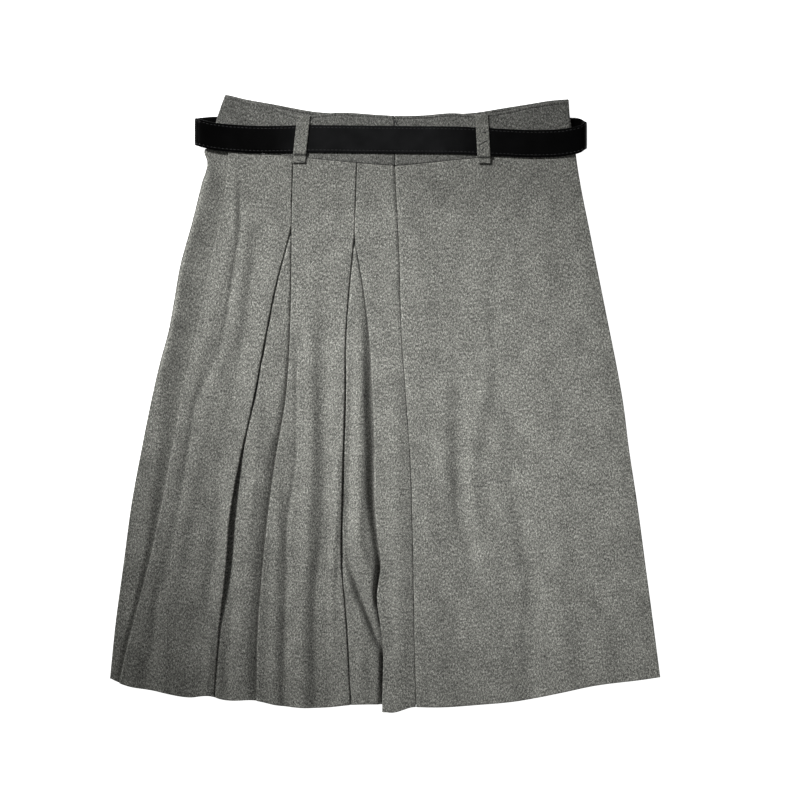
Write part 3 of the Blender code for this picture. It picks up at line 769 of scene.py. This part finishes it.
def pleated_points():
    """The pleated front's middle surface: its stretches and its folds, from the side to the centre."""
    lines = side_line(right=False), moved(inner_cloth, "side_edge", -1.0)
    grids = [run(*lines, SIDE_COLUMNS, lowest_height, 0.0)]
    folds = list(EDGE_FACES)
    for name, after in zip(folds, folds[1:]):
        grids.extend(fold_grids(name))
        columns = TURNED_UNDER[name][3]
        on_top = EDGE_FACES[name] > 0
        line = edge_cloth if on_top else inner_cloth
        height, crowding = (top_height, RUN_CROWDING) if on_top else (lowest_height, INSIDE_CROWDING)
        grids.append(run(moved(line, name, 1.0), moved(line, after, -1.0), columns, height, crowding))
    grids.extend(fold_grids("centre_right", strip=ease))
    lines = moved(edge_cloth, "centre_right", 1.0), seam_face(-1.0)
    grids.append(run(*lines, TURNED_UNDER["centre_right"][3], top_height, strip=strip_hang))
    surface = np.concatenate(grids, axis=1)
    return side_turn(surface, False, back_height(surface[:, 0, 0], surface[:, 0, 1]))


pleated_front = cloth_wall("pleated_front", pleated_points(), panel_flannel)
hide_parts("front_pleated")

# The plain front: one smooth piece of flannel from the centre seam to the right side. It lies level with the
# pleats at the centre seam, and down on the back panel beyond, with a few long, soft dents.
PLAIN_REACH = 60.0
PLAIN_CREASES = (
    (
        (200, 98, 8, 0), (230, 98.7, 7, 1.1), (285, 102.5, 7, 1.3), (335, 91, 6, 1.6), (400, 88.5, 6, 1.8),
        (460, 98.5, 7, 1.1), (500, 104, 8, 0),
    ),
    (
        (270, 74, 8, 0), (305, 74.2, 8, -1.2), (380, 73.5, 6.5, -2.8), (430, 76.5, 6, -3.2),
        (460, 86.5, 6, -2.8), (490, 94, 7, 0),
    ),
    ((260, 59.5, 9, 0), (310, 59.7, 9, 1.3), (380, 59.5, 9, 1.3), (460, 63, 10, 0)),
    (
        (280, 122, 8, 0), (320, 126, 8, -1.1), (385, 129, 8, -1.7), (450, 139, 7, -3.4),
        (485, 149, 7, -4.4), (535, 144.5, 8, -4), (595, 144, 9, -3), (617, 144, 10, -1.4),
    ),
    ((400, 164, 12, 0), (445, 171, 12, 2.2), (490, 176, 12, 1.8), (560, 179, 14, 1.1), (617, 179, 14, 0.7)),
    ((420, 107, 10, 0), (450, 110, 10, 1.4), (520, 111, 10, 1.3), (617, 112, 12, 0.9)),
    ((150, 109, 8, 0), (200, 109.2, 8, -0.9), (300, 109.2, 8, -0.7), (320, 110, 8, 0)),
)
PLAIN_LOFT = 2.2


def plain_height(across, down):
    """The middle of the plain front: level with the pleats at the centre, down on the back at the side."""
    beyond = ease((across - edge_line("centre_seam", down)) / PLAIN_REACH)
    level = 3.0 - 2.0 * beyond * ease((down - WAIST_DEPTH) / WAIST_FALL)
    near_side = (1.0 - at_waist(down)) * (1.0 - ease((side(down, right=True) - across) / SIDE_REACH))
    inside = ease((side(down, right=True) - across) / SIDE_REACH)
    lifted = LOFT * (1.0 - beyond) + PLAIN_LOFT * beyond * inside
    lifted = lifted * ease((down - WAIST_DEPTH) / LOFT_FALL) + creases_height(PLAIN_CREASES, across, down)
    lifted = (lifted + np.sqrt(lifted**2 + CREASE_SOFTNESS**2) - CREASE_SOFTNESS * at_waist(down)) / 2
    return back_height(across, down) + level * LAYER + SIDE_RISE * near_side + lifted - seam_dip(across, down)


def plain_points():
    """The plain front's middle surface, from the centre seam to the rounded right side."""
    along = crowded(150, RUN_CROWDING)[None, :]
    lines = spanned(seam_face(1.0), side_line(right=True), along)
    across, down = panel_places(lines, "front_seam", 0.0 * along, 0.0)
    surface = np.stack((across, down, plain_height(across, down)), axis=-1)
    return side_turn(surface, True, back_height(across[:, -1], down[:, -1]))


plain_front = cloth_wall("plain_front", plain_points(), panel_flannel)
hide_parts("front_plain")

# The back panel's own piece, made after the front panels because its sides turn up to meet them


def back_points():
    """The back panel's middle surface, from side to side, turned up to meet the front at both."""
    along = crowded(120, RUN_CROWDING)[None, :]
    lines = spanned(side_line(right=False), side_line(right=True), along)
    across, down = panel_places(lines, "back_seam", 0.0 * along, BACK_SHORT)
    surface = np.stack((across, down, back_height(across, down)), axis=-1)
    surface = side_turn(surface, False, lowest_height(across[:, 0], down[:, 0]))
    return side_turn(surface, True, plain_height(across[:, -1], down[:, -1]))


back = cloth_wall("back_cloth", back_points(), panel_flannel)
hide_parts("back_panel")

# The waistband: a shaped, stiffened band of flannel, in a left and a right front piece that meet at the
# centre seam and one piece behind. A line of stitching runs just below its top edge and holds it flat.
BAND_FRONT_TOP_HEIGHT = BAND_BACK_HEIGHT + BAND + 2 * GAP
BAND_FRONT_SEAM_HEIGHT = 9.5
BAND_ROWS = 110
STITCH_LINE = 3.0  # how far below the top edge the stitching runs
STITCH_DEPTH = 0.7
EDGE_THINNING = 0.4  # how much thinner the band is at its pressed edges
# The band's flannel is the panels' flannel made darker: shade painted over the whole band
band_flannel_painted_shade = flannel("band_flannel_painted_shade", (0.64, 0.64, 0.65))


def band_back_height(across, down):
    """The middle of the back waistband, which lies on the belt."""
    return BAND_BACK_HEIGHT + over_lap(across) + 0.0 * down


def band_front_height(across, down):
    """The middle of the front waistband, which rises towards the pleats' thick seam."""
    top = waist_edge(across, "front_top")
    share = (down - top) / (waist_edge(across, "front_seam") - top)
    rise = (BAND_FRONT_SEAM_HEIGHT - BAND_FRONT_TOP_HEIGHT) * np.clip(share, 0.0, 1.0)
    return BAND_FRONT_TOP_HEIGHT + rise + over_lap(across)


def band_points(start, end, columns, face, height):
    """A piece of waistband's middle surface, from its top edge to the waist seam."""
    share = np.linspace(0.0, 1.0, BAND_ROWS)[:, None]
    along = np.linspace(0.0, 1.0, columns)[None, :]
    down = share * WAIST_DEPTH + 0.0 * along
    for _ in range(4):
        across = start(down) * (1.0 - along) + end(down) * along
        top = waist_edge(across, face + "_top") + RIM
        down = top + share * (waist_edge(across, face + "_seam") - WAIST_SEAM / 2 - RIM - top)
    return np.stack((across, down, height(across, down)), axis=-1)


def band_relief(points):
    """The skin's dips, from the grid outwards: the line of stitching, and both edges, pressed thin."""
    below_top = points[..., 1] - points[:1, :, 1]
    above_seam = points[-1:, :, 1] - points[..., 1]
    stitched = STITCH_DEPTH * np.exp(-(((below_top - STITCH_LINE) / 0.7) ** 2))
    pressed = EDGE_THINNING * (np.exp(-((below_top / 0.8) ** 2)) + np.exp(-((above_seam / 1.2) ** 2)))
    return -stitched - pressed


def band_wall(name, points, node):
    """A piece of waistband: a stiff wall with its stitched groove on both skins."""
    relief = band_relief(points)
    piece = wall(name, points, BAND, band_flannel_painted_shade, relief, relief)
    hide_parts(node)
    return piece


left_points = band_points(side_line(False, BAND), seam_face(-1.0), 90, "front", band_front_height)
left_points = side_turn(left_points, False, band_back_height(left_points[:, 0, 0], left_points[:, 0, 1]))
band_left = band_wall("waistband_left", left_points, "band_front_left")
right_points = band_points(seam_face(1.0), side_line(True, BAND), 90, "front", band_front_height)
right_points = side_turn(right_points, True, band_back_height(right_points[:, -1, 0], right_points[:, -1, 1]))
band_right = band_wall("waistband_right", right_points, "band_front_right")
behind_points = band_points(side_line(False, BAND), side_line(True, BAND), 160, "back", band_back_height)
for is_right, column in ((False, 0), (True, -1)):
    meets = band_front_height(behind_points[:, column, 0], behind_points[:, column, 1])
    behind_points = side_turn(behind_points, is_right, meets)
band_behind = band_wall("waistband_behind", behind_points, "band_back")

# The belt: a strap of black grained leather round the waistband, with a row of stitching along each edge. It
# turns round past both sides of the waist, and its ends lap behind the skirt.
STRAP_WIDTH = 27.5
STRAP_LEFT_END = -190.25  # how far the belt's round turns reach past the waist
STRAP_RIGHT_END = 201.5
TURN_RADIUS = 5.0
TURN_HEIGHT = STRAP_BACK_HEIGHT + 2 * TURN_RADIUS
TURN_REACH = 30.0  # where the front stretch is down on the waistband again
LAP_STEP_START = 60.0  # where the belt's inner end climbs onto the outer one
LAP_STEP_END = 32.0
STRAP_ROWS = 60
STRAP_THINNING = 0.5  # how much thinner each of its skins is at the edges
STRAP_EDGE = 0.9
STRAP_STITCH_INSET = 2.5
STRAP_STITCH_PITCH = 3.9
STRAP_STITCH = 2.5
STRAP_STITCH_SUNK = 0.2
STRAP_GROOVE = 0.22  # the depth of the groove that the stitching lies in
STRAP_GROOVE_WIDTH = 0.5

# The belt's middle line, a row for each place across: how far down it lies in front and behind
BELT = np.array((
    (-190, 37.3, 37.3), (-176, 41, 35.8), (-143, 44.6, 35.6), (-71, 44.6, 36.5), (17, 45.6, 38),
    (73, 46.2, 37.5), (113, 48, 37), (152, 49.4, 36.6), (185, 47, 36.6), (195, 44.5, 37.6),
    (201, 40.8, 40.8),
))


def belt_height(across, down):
    """The middle of the belt's front stretch: on the waistband, and up to its round turns past the sides."""
    on_band = band_front_height(across, down) + BAND / 2 + SEAM + STRAP / 2
    from_turn = np.minimum(across - STRAP_LEFT_END, STRAP_RIGHT_END - across) - TURN_RADIUS - STRAP / 2
    share = ease(from_turn / TURN_REACH)
    return TURN_HEIGHT * (1.0 - share) + on_band * share


def belt_points():
    """The strap's middle surface, from its outer end behind, round the left side, the front and the right."""
    left = STRAP_LEFT_END + STRAP / 2 + TURN_RADIUS
    right = STRAP_RIGHT_END - STRAP / 2 - TURN_RADIUS
    angle = np.linspace(0.0, np.pi, 18)[1:-1]
    turn_height = STRAP_BACK_HEIGHT + TURN_RADIUS * (1.0 - np.cos(angle))
    across_back = np.linspace(LAP / 2, left, 70)
    across_front = np.linspace(left, right, 180)
    across_return = np.linspace(right, -LAP / 2, 80)
    lifted = LAP_RISE * ease((LAP_STEP_START - across_return) / (LAP_STEP_START - LAP_STEP_END))
    stretches = (
        (across_back, "back", np.full_like(across_back, STRAP_BACK_HEIGHT)),
        (left - TURN_RADIUS * np.sin(angle), "turn", turn_height),
        (across_front, "front", None),
        (right + TURN_RADIUS * np.sin(angle), "turn", turn_height[::-1]),
        (across_return, "back", STRAP_BACK_HEIGHT + lifted),
    )
    half = STRAP_WIDTH / 2 - RIM
    from_middle = np.linspace(-half, half, STRAP_ROWS)[:, None]
    grids = []
    for across, stretch, height in stretches:
        front = curve_through(BELT[:, 0], BELT[:, 1], across)
        back = curve_through(BELT[:, 0], BELT[:, 2], across)
        if stretch == "turn":
            middle = back + (front - back) * (height - STRAP_BACK_HEIGHT) / (2 * TURN_RADIUS)
        else:
            middle = front if stretch == "front" else back
        down = middle[None, :] + from_middle
        across = across[None, :] + 0.0 * from_middle
        height = belt_height(across, down) if height is None else height[None, :] + 0.0 * from_middle
        grids.append(np.stack((across, down, height), axis=-1))
    return np.concatenate(grids, axis=1)


LEATHER_COLOURS = ((0.3, (0.0070, 0.0072, 0.0075)), (0.7, (0.0110, 0.0112, 0.0118)))
PAINTED_REFLECTION_REACH = 0.2  # how far to each side of the middle the painted reflection is given for, in metres

# How much of its colour the leather shows, from the belt's left end to its right one: a painted reflection,
# most in the middle, where the lamp's reflection lies on the leather, and least at the ends
PAINTED_REFLECTION = ((0.0, 0.05), (0.22, 0.1), (0.33, 0.8), (0.62, 1.0), (0.74, 0.3), (1.0, 0.05))


def leather_material():
    """Black leather with a fine pebbled grain and a soft, uneven gloss, and a reflection painted paler in
    front.
    """
    made, tree, shader = new_material("black_leather", {"Specular IOR Level": 0.05})
    place = add_node(tree, "ShaderNodeTexCoord")
    over = {"Vector": place.outputs["UV"], "Scale": 900.0}
    grain = add_node(tree, "ShaderNodeTexVoronoi", over, feature="DISTANCE_TO_EDGE")
    cloud = noise(tree, place.outputs["UV"], 60.0, 4.0)
    tree.links.new(rescaled(tree, cloud, 0.3, 0.7, 0.36, 0.42), shader.inputs["Roughness"])
    # Painted reflection: the colour is paler over the middle of the front and darker towards both ends
    across = add_node(tree, "ShaderNodeSeparateXYZ", {"Vector": place.outputs["Object"]}).outputs["X"]
    share = rescaled(tree, across, -PAINTED_REFLECTION_REACH, PAINTED_REFLECTION_REACH, 0.0, 1.0)
    painted_reflection = coloured(tree, share, [(spot, (paleness,) * 3) for spot, paleness in PAINTED_REFLECTION])
    colour = multiplied(tree, coloured(tree, cloud, LEATHER_COLOURS), painted_reflection)
    tree.links.new(colour, shader.inputs["Base Color"])
    raise_surface(tree, shader, grain.outputs["Distance"], 0.35, 0.0003)
    return made


strap_points = belt_points()
from_edge = STRAP_WIDTH / 2 - np.abs(np.linspace(-STRAP_WIDTH / 2, STRAP_WIDTH / 2, STRAP_ROWS))[:, None]
back_relief = -STRAP_THINNING * np.exp(-((from_edge / STRAP_EDGE) ** 2)) + np.zeros(strap_points.shape[:2])
groove = np.exp(-(((from_edge - STRAP_STITCH_INSET) / STRAP_GROOVE_WIDTH) ** 2))
front_relief = back_relief - STRAP_GROOVE * groove
strap = wall("belt_leather", strap_points, STRAP, leather_material(), front_relief, back_relief)
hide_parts("belt_strap")


def add_stitches(name, starts, ends, normals, width, height, material, node):
    """Short raised threads, each a ridge of five corners a side from its start to its end."""
    along = unit(ends - starts)
    across = unit(np.cross(normals, along))
    corners, faces = [], []
    shape = ((0.0, 0.15), (0.18, 0.75), (0.5, 1.0), (0.82, 0.75), (1.0, 0.15))
    for share, size in shape:
        middle = starts + share * (ends - starts)
        for way, rise in ((-1.0, -0.3), (-0.6, 0.7), (0.0, 1.0), (0.6, 0.7), (1.0, -0.3)):
            corners.append(middle + across * way * width / 2 * size + normals * rise * height * size)
    corners = np.stack(corners, axis=1)
    points = np.arange(25).reshape(5, 5)
    under = np.stack((points[:-1, -1], points[1:, -1], points[1:, 0], points[:-1, 0]), axis=-1)
    quads = np.concatenate((grid_faces(points), under))
    ends_faces = [points[0].tolist(), points[-1, ::-1].tolist()]
    for number in range(len(starts)):
        faces.extend((quads + 25 * number).tolist())
        faces.extend([[corner + 25 * number for corner in face] for face in ends_faces])
    piece = new_piece(name, corners.reshape(-1, 3).tolist(), faces, material)
    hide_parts(node)
    return piece


def thread_material(name, colour):
    """Waxed thread: nearly matt, with a fine twist across it."""
    made, tree, shader = new_material(name, {"Base Color": (*colour, 1.0), "Roughness": 0.7})
    place = add_node(tree, "ShaderNodeTexCoord").outputs["Object"]
    raise_surface(tree, shader, noise(tree, place, 1500.0), 0.4, 0.0003)
    return made


def along_row(points, row, thickness, pitch, length, relief=0.0):
    """Starts, ends and normals of stitches along one row of a grid, on its front skin."""
    world = to_world(points)
    normals = grid_normals(world)
    line = world[row] + normals[row] * (thickness / 2 + relief) * MM
    travelled = np.concatenate(((0.0,), np.cumsum(np.linalg.norm(np.diff(line, axis=0), axis=-1)))) / MM
    first = np.arange(pitch, travelled[-1] - pitch, pitch)

    def at(place, values):
        """The values part of the way along the row."""
        return np.stack([np.interp(place, travelled, values[:, i]) for i in range(3)], axis=-1)

    return at(first, line), at(first + length, line), unit(at(first + length / 2, normals[row]))


strap_thread = thread_material("strap_thread", (0.016, 0.016, 0.017))
stitch_rows = [int(np.argmin(np.abs(from_edge[: STRAP_ROWS // 2, 0] - STRAP_STITCH_INSET)))]
stitch_rows.append(STRAP_ROWS - 1 - stitch_rows[0])
spacing = (STRAP_STITCH_PITCH, STRAP_STITCH, -STRAP_STITCH_SUNK)
sewn = [along_row(strap_points, row, STRAP, *spacing) for row in stitch_rows]
sewn = [np.concatenate(parts) for parts in zip(*sewn)]
strap_stitching = add_stitches("belt_stitching", *sewn, 0.00075, 0.0003, strap_thread, "belt_strap")

# The waistband's stitching: dark grey thread along the groove below its top edge, seen in front and inside
band_thread = thread_material("band_thread", (0.045, 0.045, 0.045))
BAND_STITCH_PITCH = 2.6
BAND_STITCH = 2.0
BAND_STITCH_SUNK = STITCH_DEPTH * 0.8
for piece_points, node in (
    (left_points, "band_front_left"),
    (right_points, "band_front_right"),
    (behind_points, "band_back"),
):
    row = int(np.argmin(np.abs(piece_points[:, 40, 1] - piece_points[0, 40, 1] - STITCH_LINE)))
    spacing = (BAND_STITCH_PITCH, BAND_STITCH)
    sewn = [along_row(piece_points, row, BAND, *spacing, -BAND_STITCH_SUNK)]
    if node == "band_back":
        starts, ends, outward = along_row(piece_points, row, -BAND, *spacing, BAND_STITCH_SUNK)
        sewn.append((ends, starts, -outward))
    sewn = [np.concatenate(parts) for parts in zip(*sewn)]
    name = node.replace("band", "stitching")
    stitching = add_stitches(name, *sewn, 0.0007, 0.00035, band_thread, node)

# The belt loops: plain strips of the same flannel, sewn to the waistband above and below the belt
LOOP_WIDTH = 13.0
LOOP_EDGE = 0.6
LOOP_FOOT = 3.2
LOOPS = {
    "loop_front_left": (-81.2, -86.2, 21.8, 68.6, True),
    "loop_front_right": (96.2, 98.8, 20.4, 69.0, True),
    "loop_back_left": (-86.0, -86.0, 16.0, 60.0, False),
    "loop_back_right": (96.0, 96.0, 19.5, 60.0, False),
}
loop_flannel = flannel("loop_flannel", (0.84, 0.84, 0.84))


def loop_points(across_top, across_bottom, down_top, down_bottom, front):
    """A belt loop's middle surface: on the waistband at both ends, and round the belt between them."""
    belt = curve_through(BELT[:, 0], BELT[:, 1 if front else 2], (across_top + across_bottom) / 2)
    half = LOOP_WIDTH / 2 - RIM
    down = np.linspace(down_top + RIM, down_bottom - RIM, 90)[:, None] + np.zeros((1, 15))
    share = (down - down_top) / (down_bottom - down_top)
    across = across_top + share * (across_bottom - across_top) + np.linspace(-half, half, 15)[None, :]
    past_belt = np.abs(down - belt) - STRAP_WIDTH / 2
    on_belt = 1.0 - ease((past_belt - LOOP_EDGE) / (LOOP_FOOT - LOOP_EDGE))
    off_band = SEAM + BAND / 2 + CLOTH / 2
    off_belt = SEAM + STRAP / 2 + CLOTH / 2
    if front:
        foot = band_front_height(across, down) + off_band
        bridge = belt_height(across, down) + off_belt
    else:
        foot = band_back_height(across, down) - off_band
        bridge = STRAP_BACK_HEIGHT - off_belt
    height = foot * (1.0 - on_belt) + bridge * on_belt
    return np.stack((across, down, height), axis=-1)


for node, place in LOOPS.items():
    loop = wall(node.replace("loop", "belt_loop"), loop_points(*place), CLOTH, loop_flannel)
    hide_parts(node)

# Short loose ends of dark thread: a tack across the centre seam above the belt, tacks on both front loops and
# a few dark neps in the flannel, each given by its two ends, across and down
THREAD_ENDS = (
    (
        "seam_tack",
        "band_front_left",
        (((8.9, 31), (9.9, 25.6)), ((9.9, 25.6), (11.6, 30.4)), ((11.6, 30.4), (12.4, 25.4))),
    ),
    ("loop_tack_left", "loop_front_left", (((-88.3, 24.2), (-84.8, 23.2)), ((-87.6, 65.8), (-80.4, 68)))),
    (
        "loop_tack_right",
        "loop_front_right",
        (
            ((96.8, 39), (102, 37.6)),
            ((92.8, 52.2), (96.3, 49)),
            ((96.3, 49), (102.2, 46.6)),
            ((95.4, 57), (99.2, 52.4)),
        ),
    ),
    (
        "neps_left",
        "front_pleated",
        (
            ((-9.8, 162.6), (-8.8, 163.6)),
            ((-11.2, 195.4), (-10.2, 196.8)),
            ((-78.2, 247.4), (-77.2, 248.8)),
        ),
    ),
    ("neps_right", "front_plain", (((184.8, 159.4), (185.8, 160.8)),)),
)


def surface_height(node, across, down):
    """How high the outer face of a front piece lies."""
    if node == "front_pleated":
        return top_height(across, down) + CLOTH / 2
    if node == "front_plain":
        return plain_height(across, down) + CLOTH / 2
    if node == "band_front_left":
        return band_front_height(across, down) + BAND / 2
    middle = loop_points(*LOOPS[node])
    nearest = np.argmin((middle[..., 0] - across) ** 2 + (middle[..., 1] - down) ** 2)
    return middle[..., 2].ravel()[nearest] + CLOTH / 2


for name, node, ends in THREAD_ENDS:
    places = np.array([[(*end, float(surface_height(node, *end)) + 0.1) for end in pair] for pair in ends])
    starts, finishes = to_world(places[:, 0]), to_world(places[:, 1])
    upward = np.tile((0.0, 0.0, 1.0), (len(ends), 1))
    threads = add_stitches(name, starts, finishes, upward, 0.0009, 0.0003, strap_thread, node)

# The press studs that close the belt behind the skirt: flat turned caps of dark plated steel
STUD = 1.2  # a cap's thickness
STUD_PLACE = 12.0  # how far each one is from the middle
STUD_STEPS = 48
SHARP_ANGLE = 0.6  # past which two of its faces meet in an edge, in radians
STUD_PROFILE = (
    (0, 0), (2.6, 0), (3, 0.12), (3.5, 0.12), (4, 0), (5, 0.05), (5.4, 0.25), (5.5, 0.55), (5.5, 1.2),
    (0, 1.2),
)


def metal_material():
    """Dark plated steel with a slightly uneven gloss."""
    made, tree, shader = new_material("dark_metal", {"Base Color": (0.12, 0.12, 0.13, 1.0), "Metallic": 1.0})
    place = add_node(tree, "ShaderNodeTexCoord").outputs["Object"]
    gloss = rescaled(tree, noise(tree, place, 900.0), 0.0, 1.0, 0.25, 0.42)
    tree.links.new(gloss, shader.inputs["Roughness"])
    return made


def turned_cap(name, across, material):
    """A press stud's cap, its profile turned about its axis, with its face down on the surface."""
    down = curve_through(BELT[:, 0], BELT[:, 2], across)
    angle = np.linspace(0.0, 2.0 * np.pi, STUD_STEPS, endpoint=False)
    rings = np.array(STUD_PROFILE)[1:-1]
    corners = np.stack(
        (
            across + rings[:, :1] * np.cos(angle),
            LENGTH / 2 - down + rings[:, :1] * np.sin(angle),
            rings[:, 1:] + 0.0 * angle,
        ),
        axis=-1,
    ).reshape(-1, 3)
    low = len(corners)
    corners = np.concatenate((corners, [(across, LENGTH / 2 - down, 0.0), (across, LENGTH / 2 - down, STUD)]))
    index = np.arange(low).reshape(len(rings), STUD_STEPS)
    after = np.roll(index, -1, axis=1)
    quads = np.stack((index[:-1], after[:-1], after[1:], index[1:]), axis=-1).reshape(-1, 4).tolist()
    fans = [[low, b, a] for a, b in zip(index[0], after[0])]
    fans += [[low + 1, a, b] for a, b in zip(index[-1], after[-1])]
    piece = new_piece(name, (corners * MM).tolist(), quads + fans, material)
    piece.data.set_sharp_from_angle(angle=SHARP_ANGLE)
    return piece


dark_metal = metal_material()
for node, place in (("belt_stud_left", -STUD_PLACE), ("belt_stud_right", STUD_PLACE)):
    cap = turned_cap(node.replace("belt_stud", "press_stud"), place, dark_metal)
    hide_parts(node)

# The studio: a pale floor that the skirt lies on, a camera straight above it and soft light from the upper
# left, strongest over the middle of the skirt.
CAMERA_HEIGHT = 4.0
VIEW_WIDTH = 0.8
VIEW_CENTRE = (0.0148, 0.0035)
SENSOR = 36.0
FLOOR_SIZE = 6.0

floor_mesh = bpy.data.meshes.new("floor")
floor_corners = ((-1, -1), (1, -1), (1, 1), (-1, 1))
floor_mesh.from_pydata([(x * FLOOR_SIZE, y * FLOOR_SIZE, 0.0) for x, y in floor_corners], [], [(0, 1, 2, 3)])
floor = bpy.data.objects.new("floor", floor_mesh)
bpy.context.scene.collection.objects.link(floor)
floor_paint = new_material(
    "pale_floor",
    {
        "Base Color": (0.92, 0.92, 0.92, 1.0),
        "Roughness": 0.9,
        "Emission Color": (1.0, 1.0, 1.0, 1.0),
        "Emission Strength": 1.0,
    },
)[0]
floor_mesh.materials.append(floor_paint)


def add_light(name, place, aim, size, spread, power):
    """A square soft white light at a place, turned to shine at another within its spread."""
    light = bpy.data.lights.new(name, "AREA")
    light.shape = "SQUARE"
    light.size = size
    light.spread = spread
    light.energy = power
    lamp = bpy.data.objects.new(name, light)
    bpy.context.scene.collection.objects.link(lamp)
    lamp.location = place
    lamp.rotation_euler = (Vector(aim) - Vector(place)).to_track_quat("-Z", "Y").to_euler()
    lamp.visible_camera = False


add_light("key", (-1.52, 1.54, 1.76), (0.07, -0.02, 0.0), size=0.30, spread=0.33, power=1.75)
world = bpy.data.worlds.new("studio")
world.use_nodes = True
world.node_tree.nodes["Background"].inputs["Color"].default_value = (1.0, 1.0, 1.0, 1.0)
world.node_tree.nodes["Background"].inputs["Strength"].default_value = 0.14
bpy.context.scene.world = world
bpy.context.scene.view_settings.view_transform = "Standard"

camera_data = bpy.data.cameras.new("camera")
camera_data.sensor_width = SENSOR
camera_data.lens = SENSOR * CAMERA_HEIGHT / VIEW_WIDTH
camera_data.clip_end = 20.0
camera = bpy.data.objects.new("camera", camera_data)
camera.location = (*VIEW_CENTRE, CAMERA_HEIGHT)
bpy.context.scene.collection.objects.link(camera)
bpy.context.scene.camera = camera
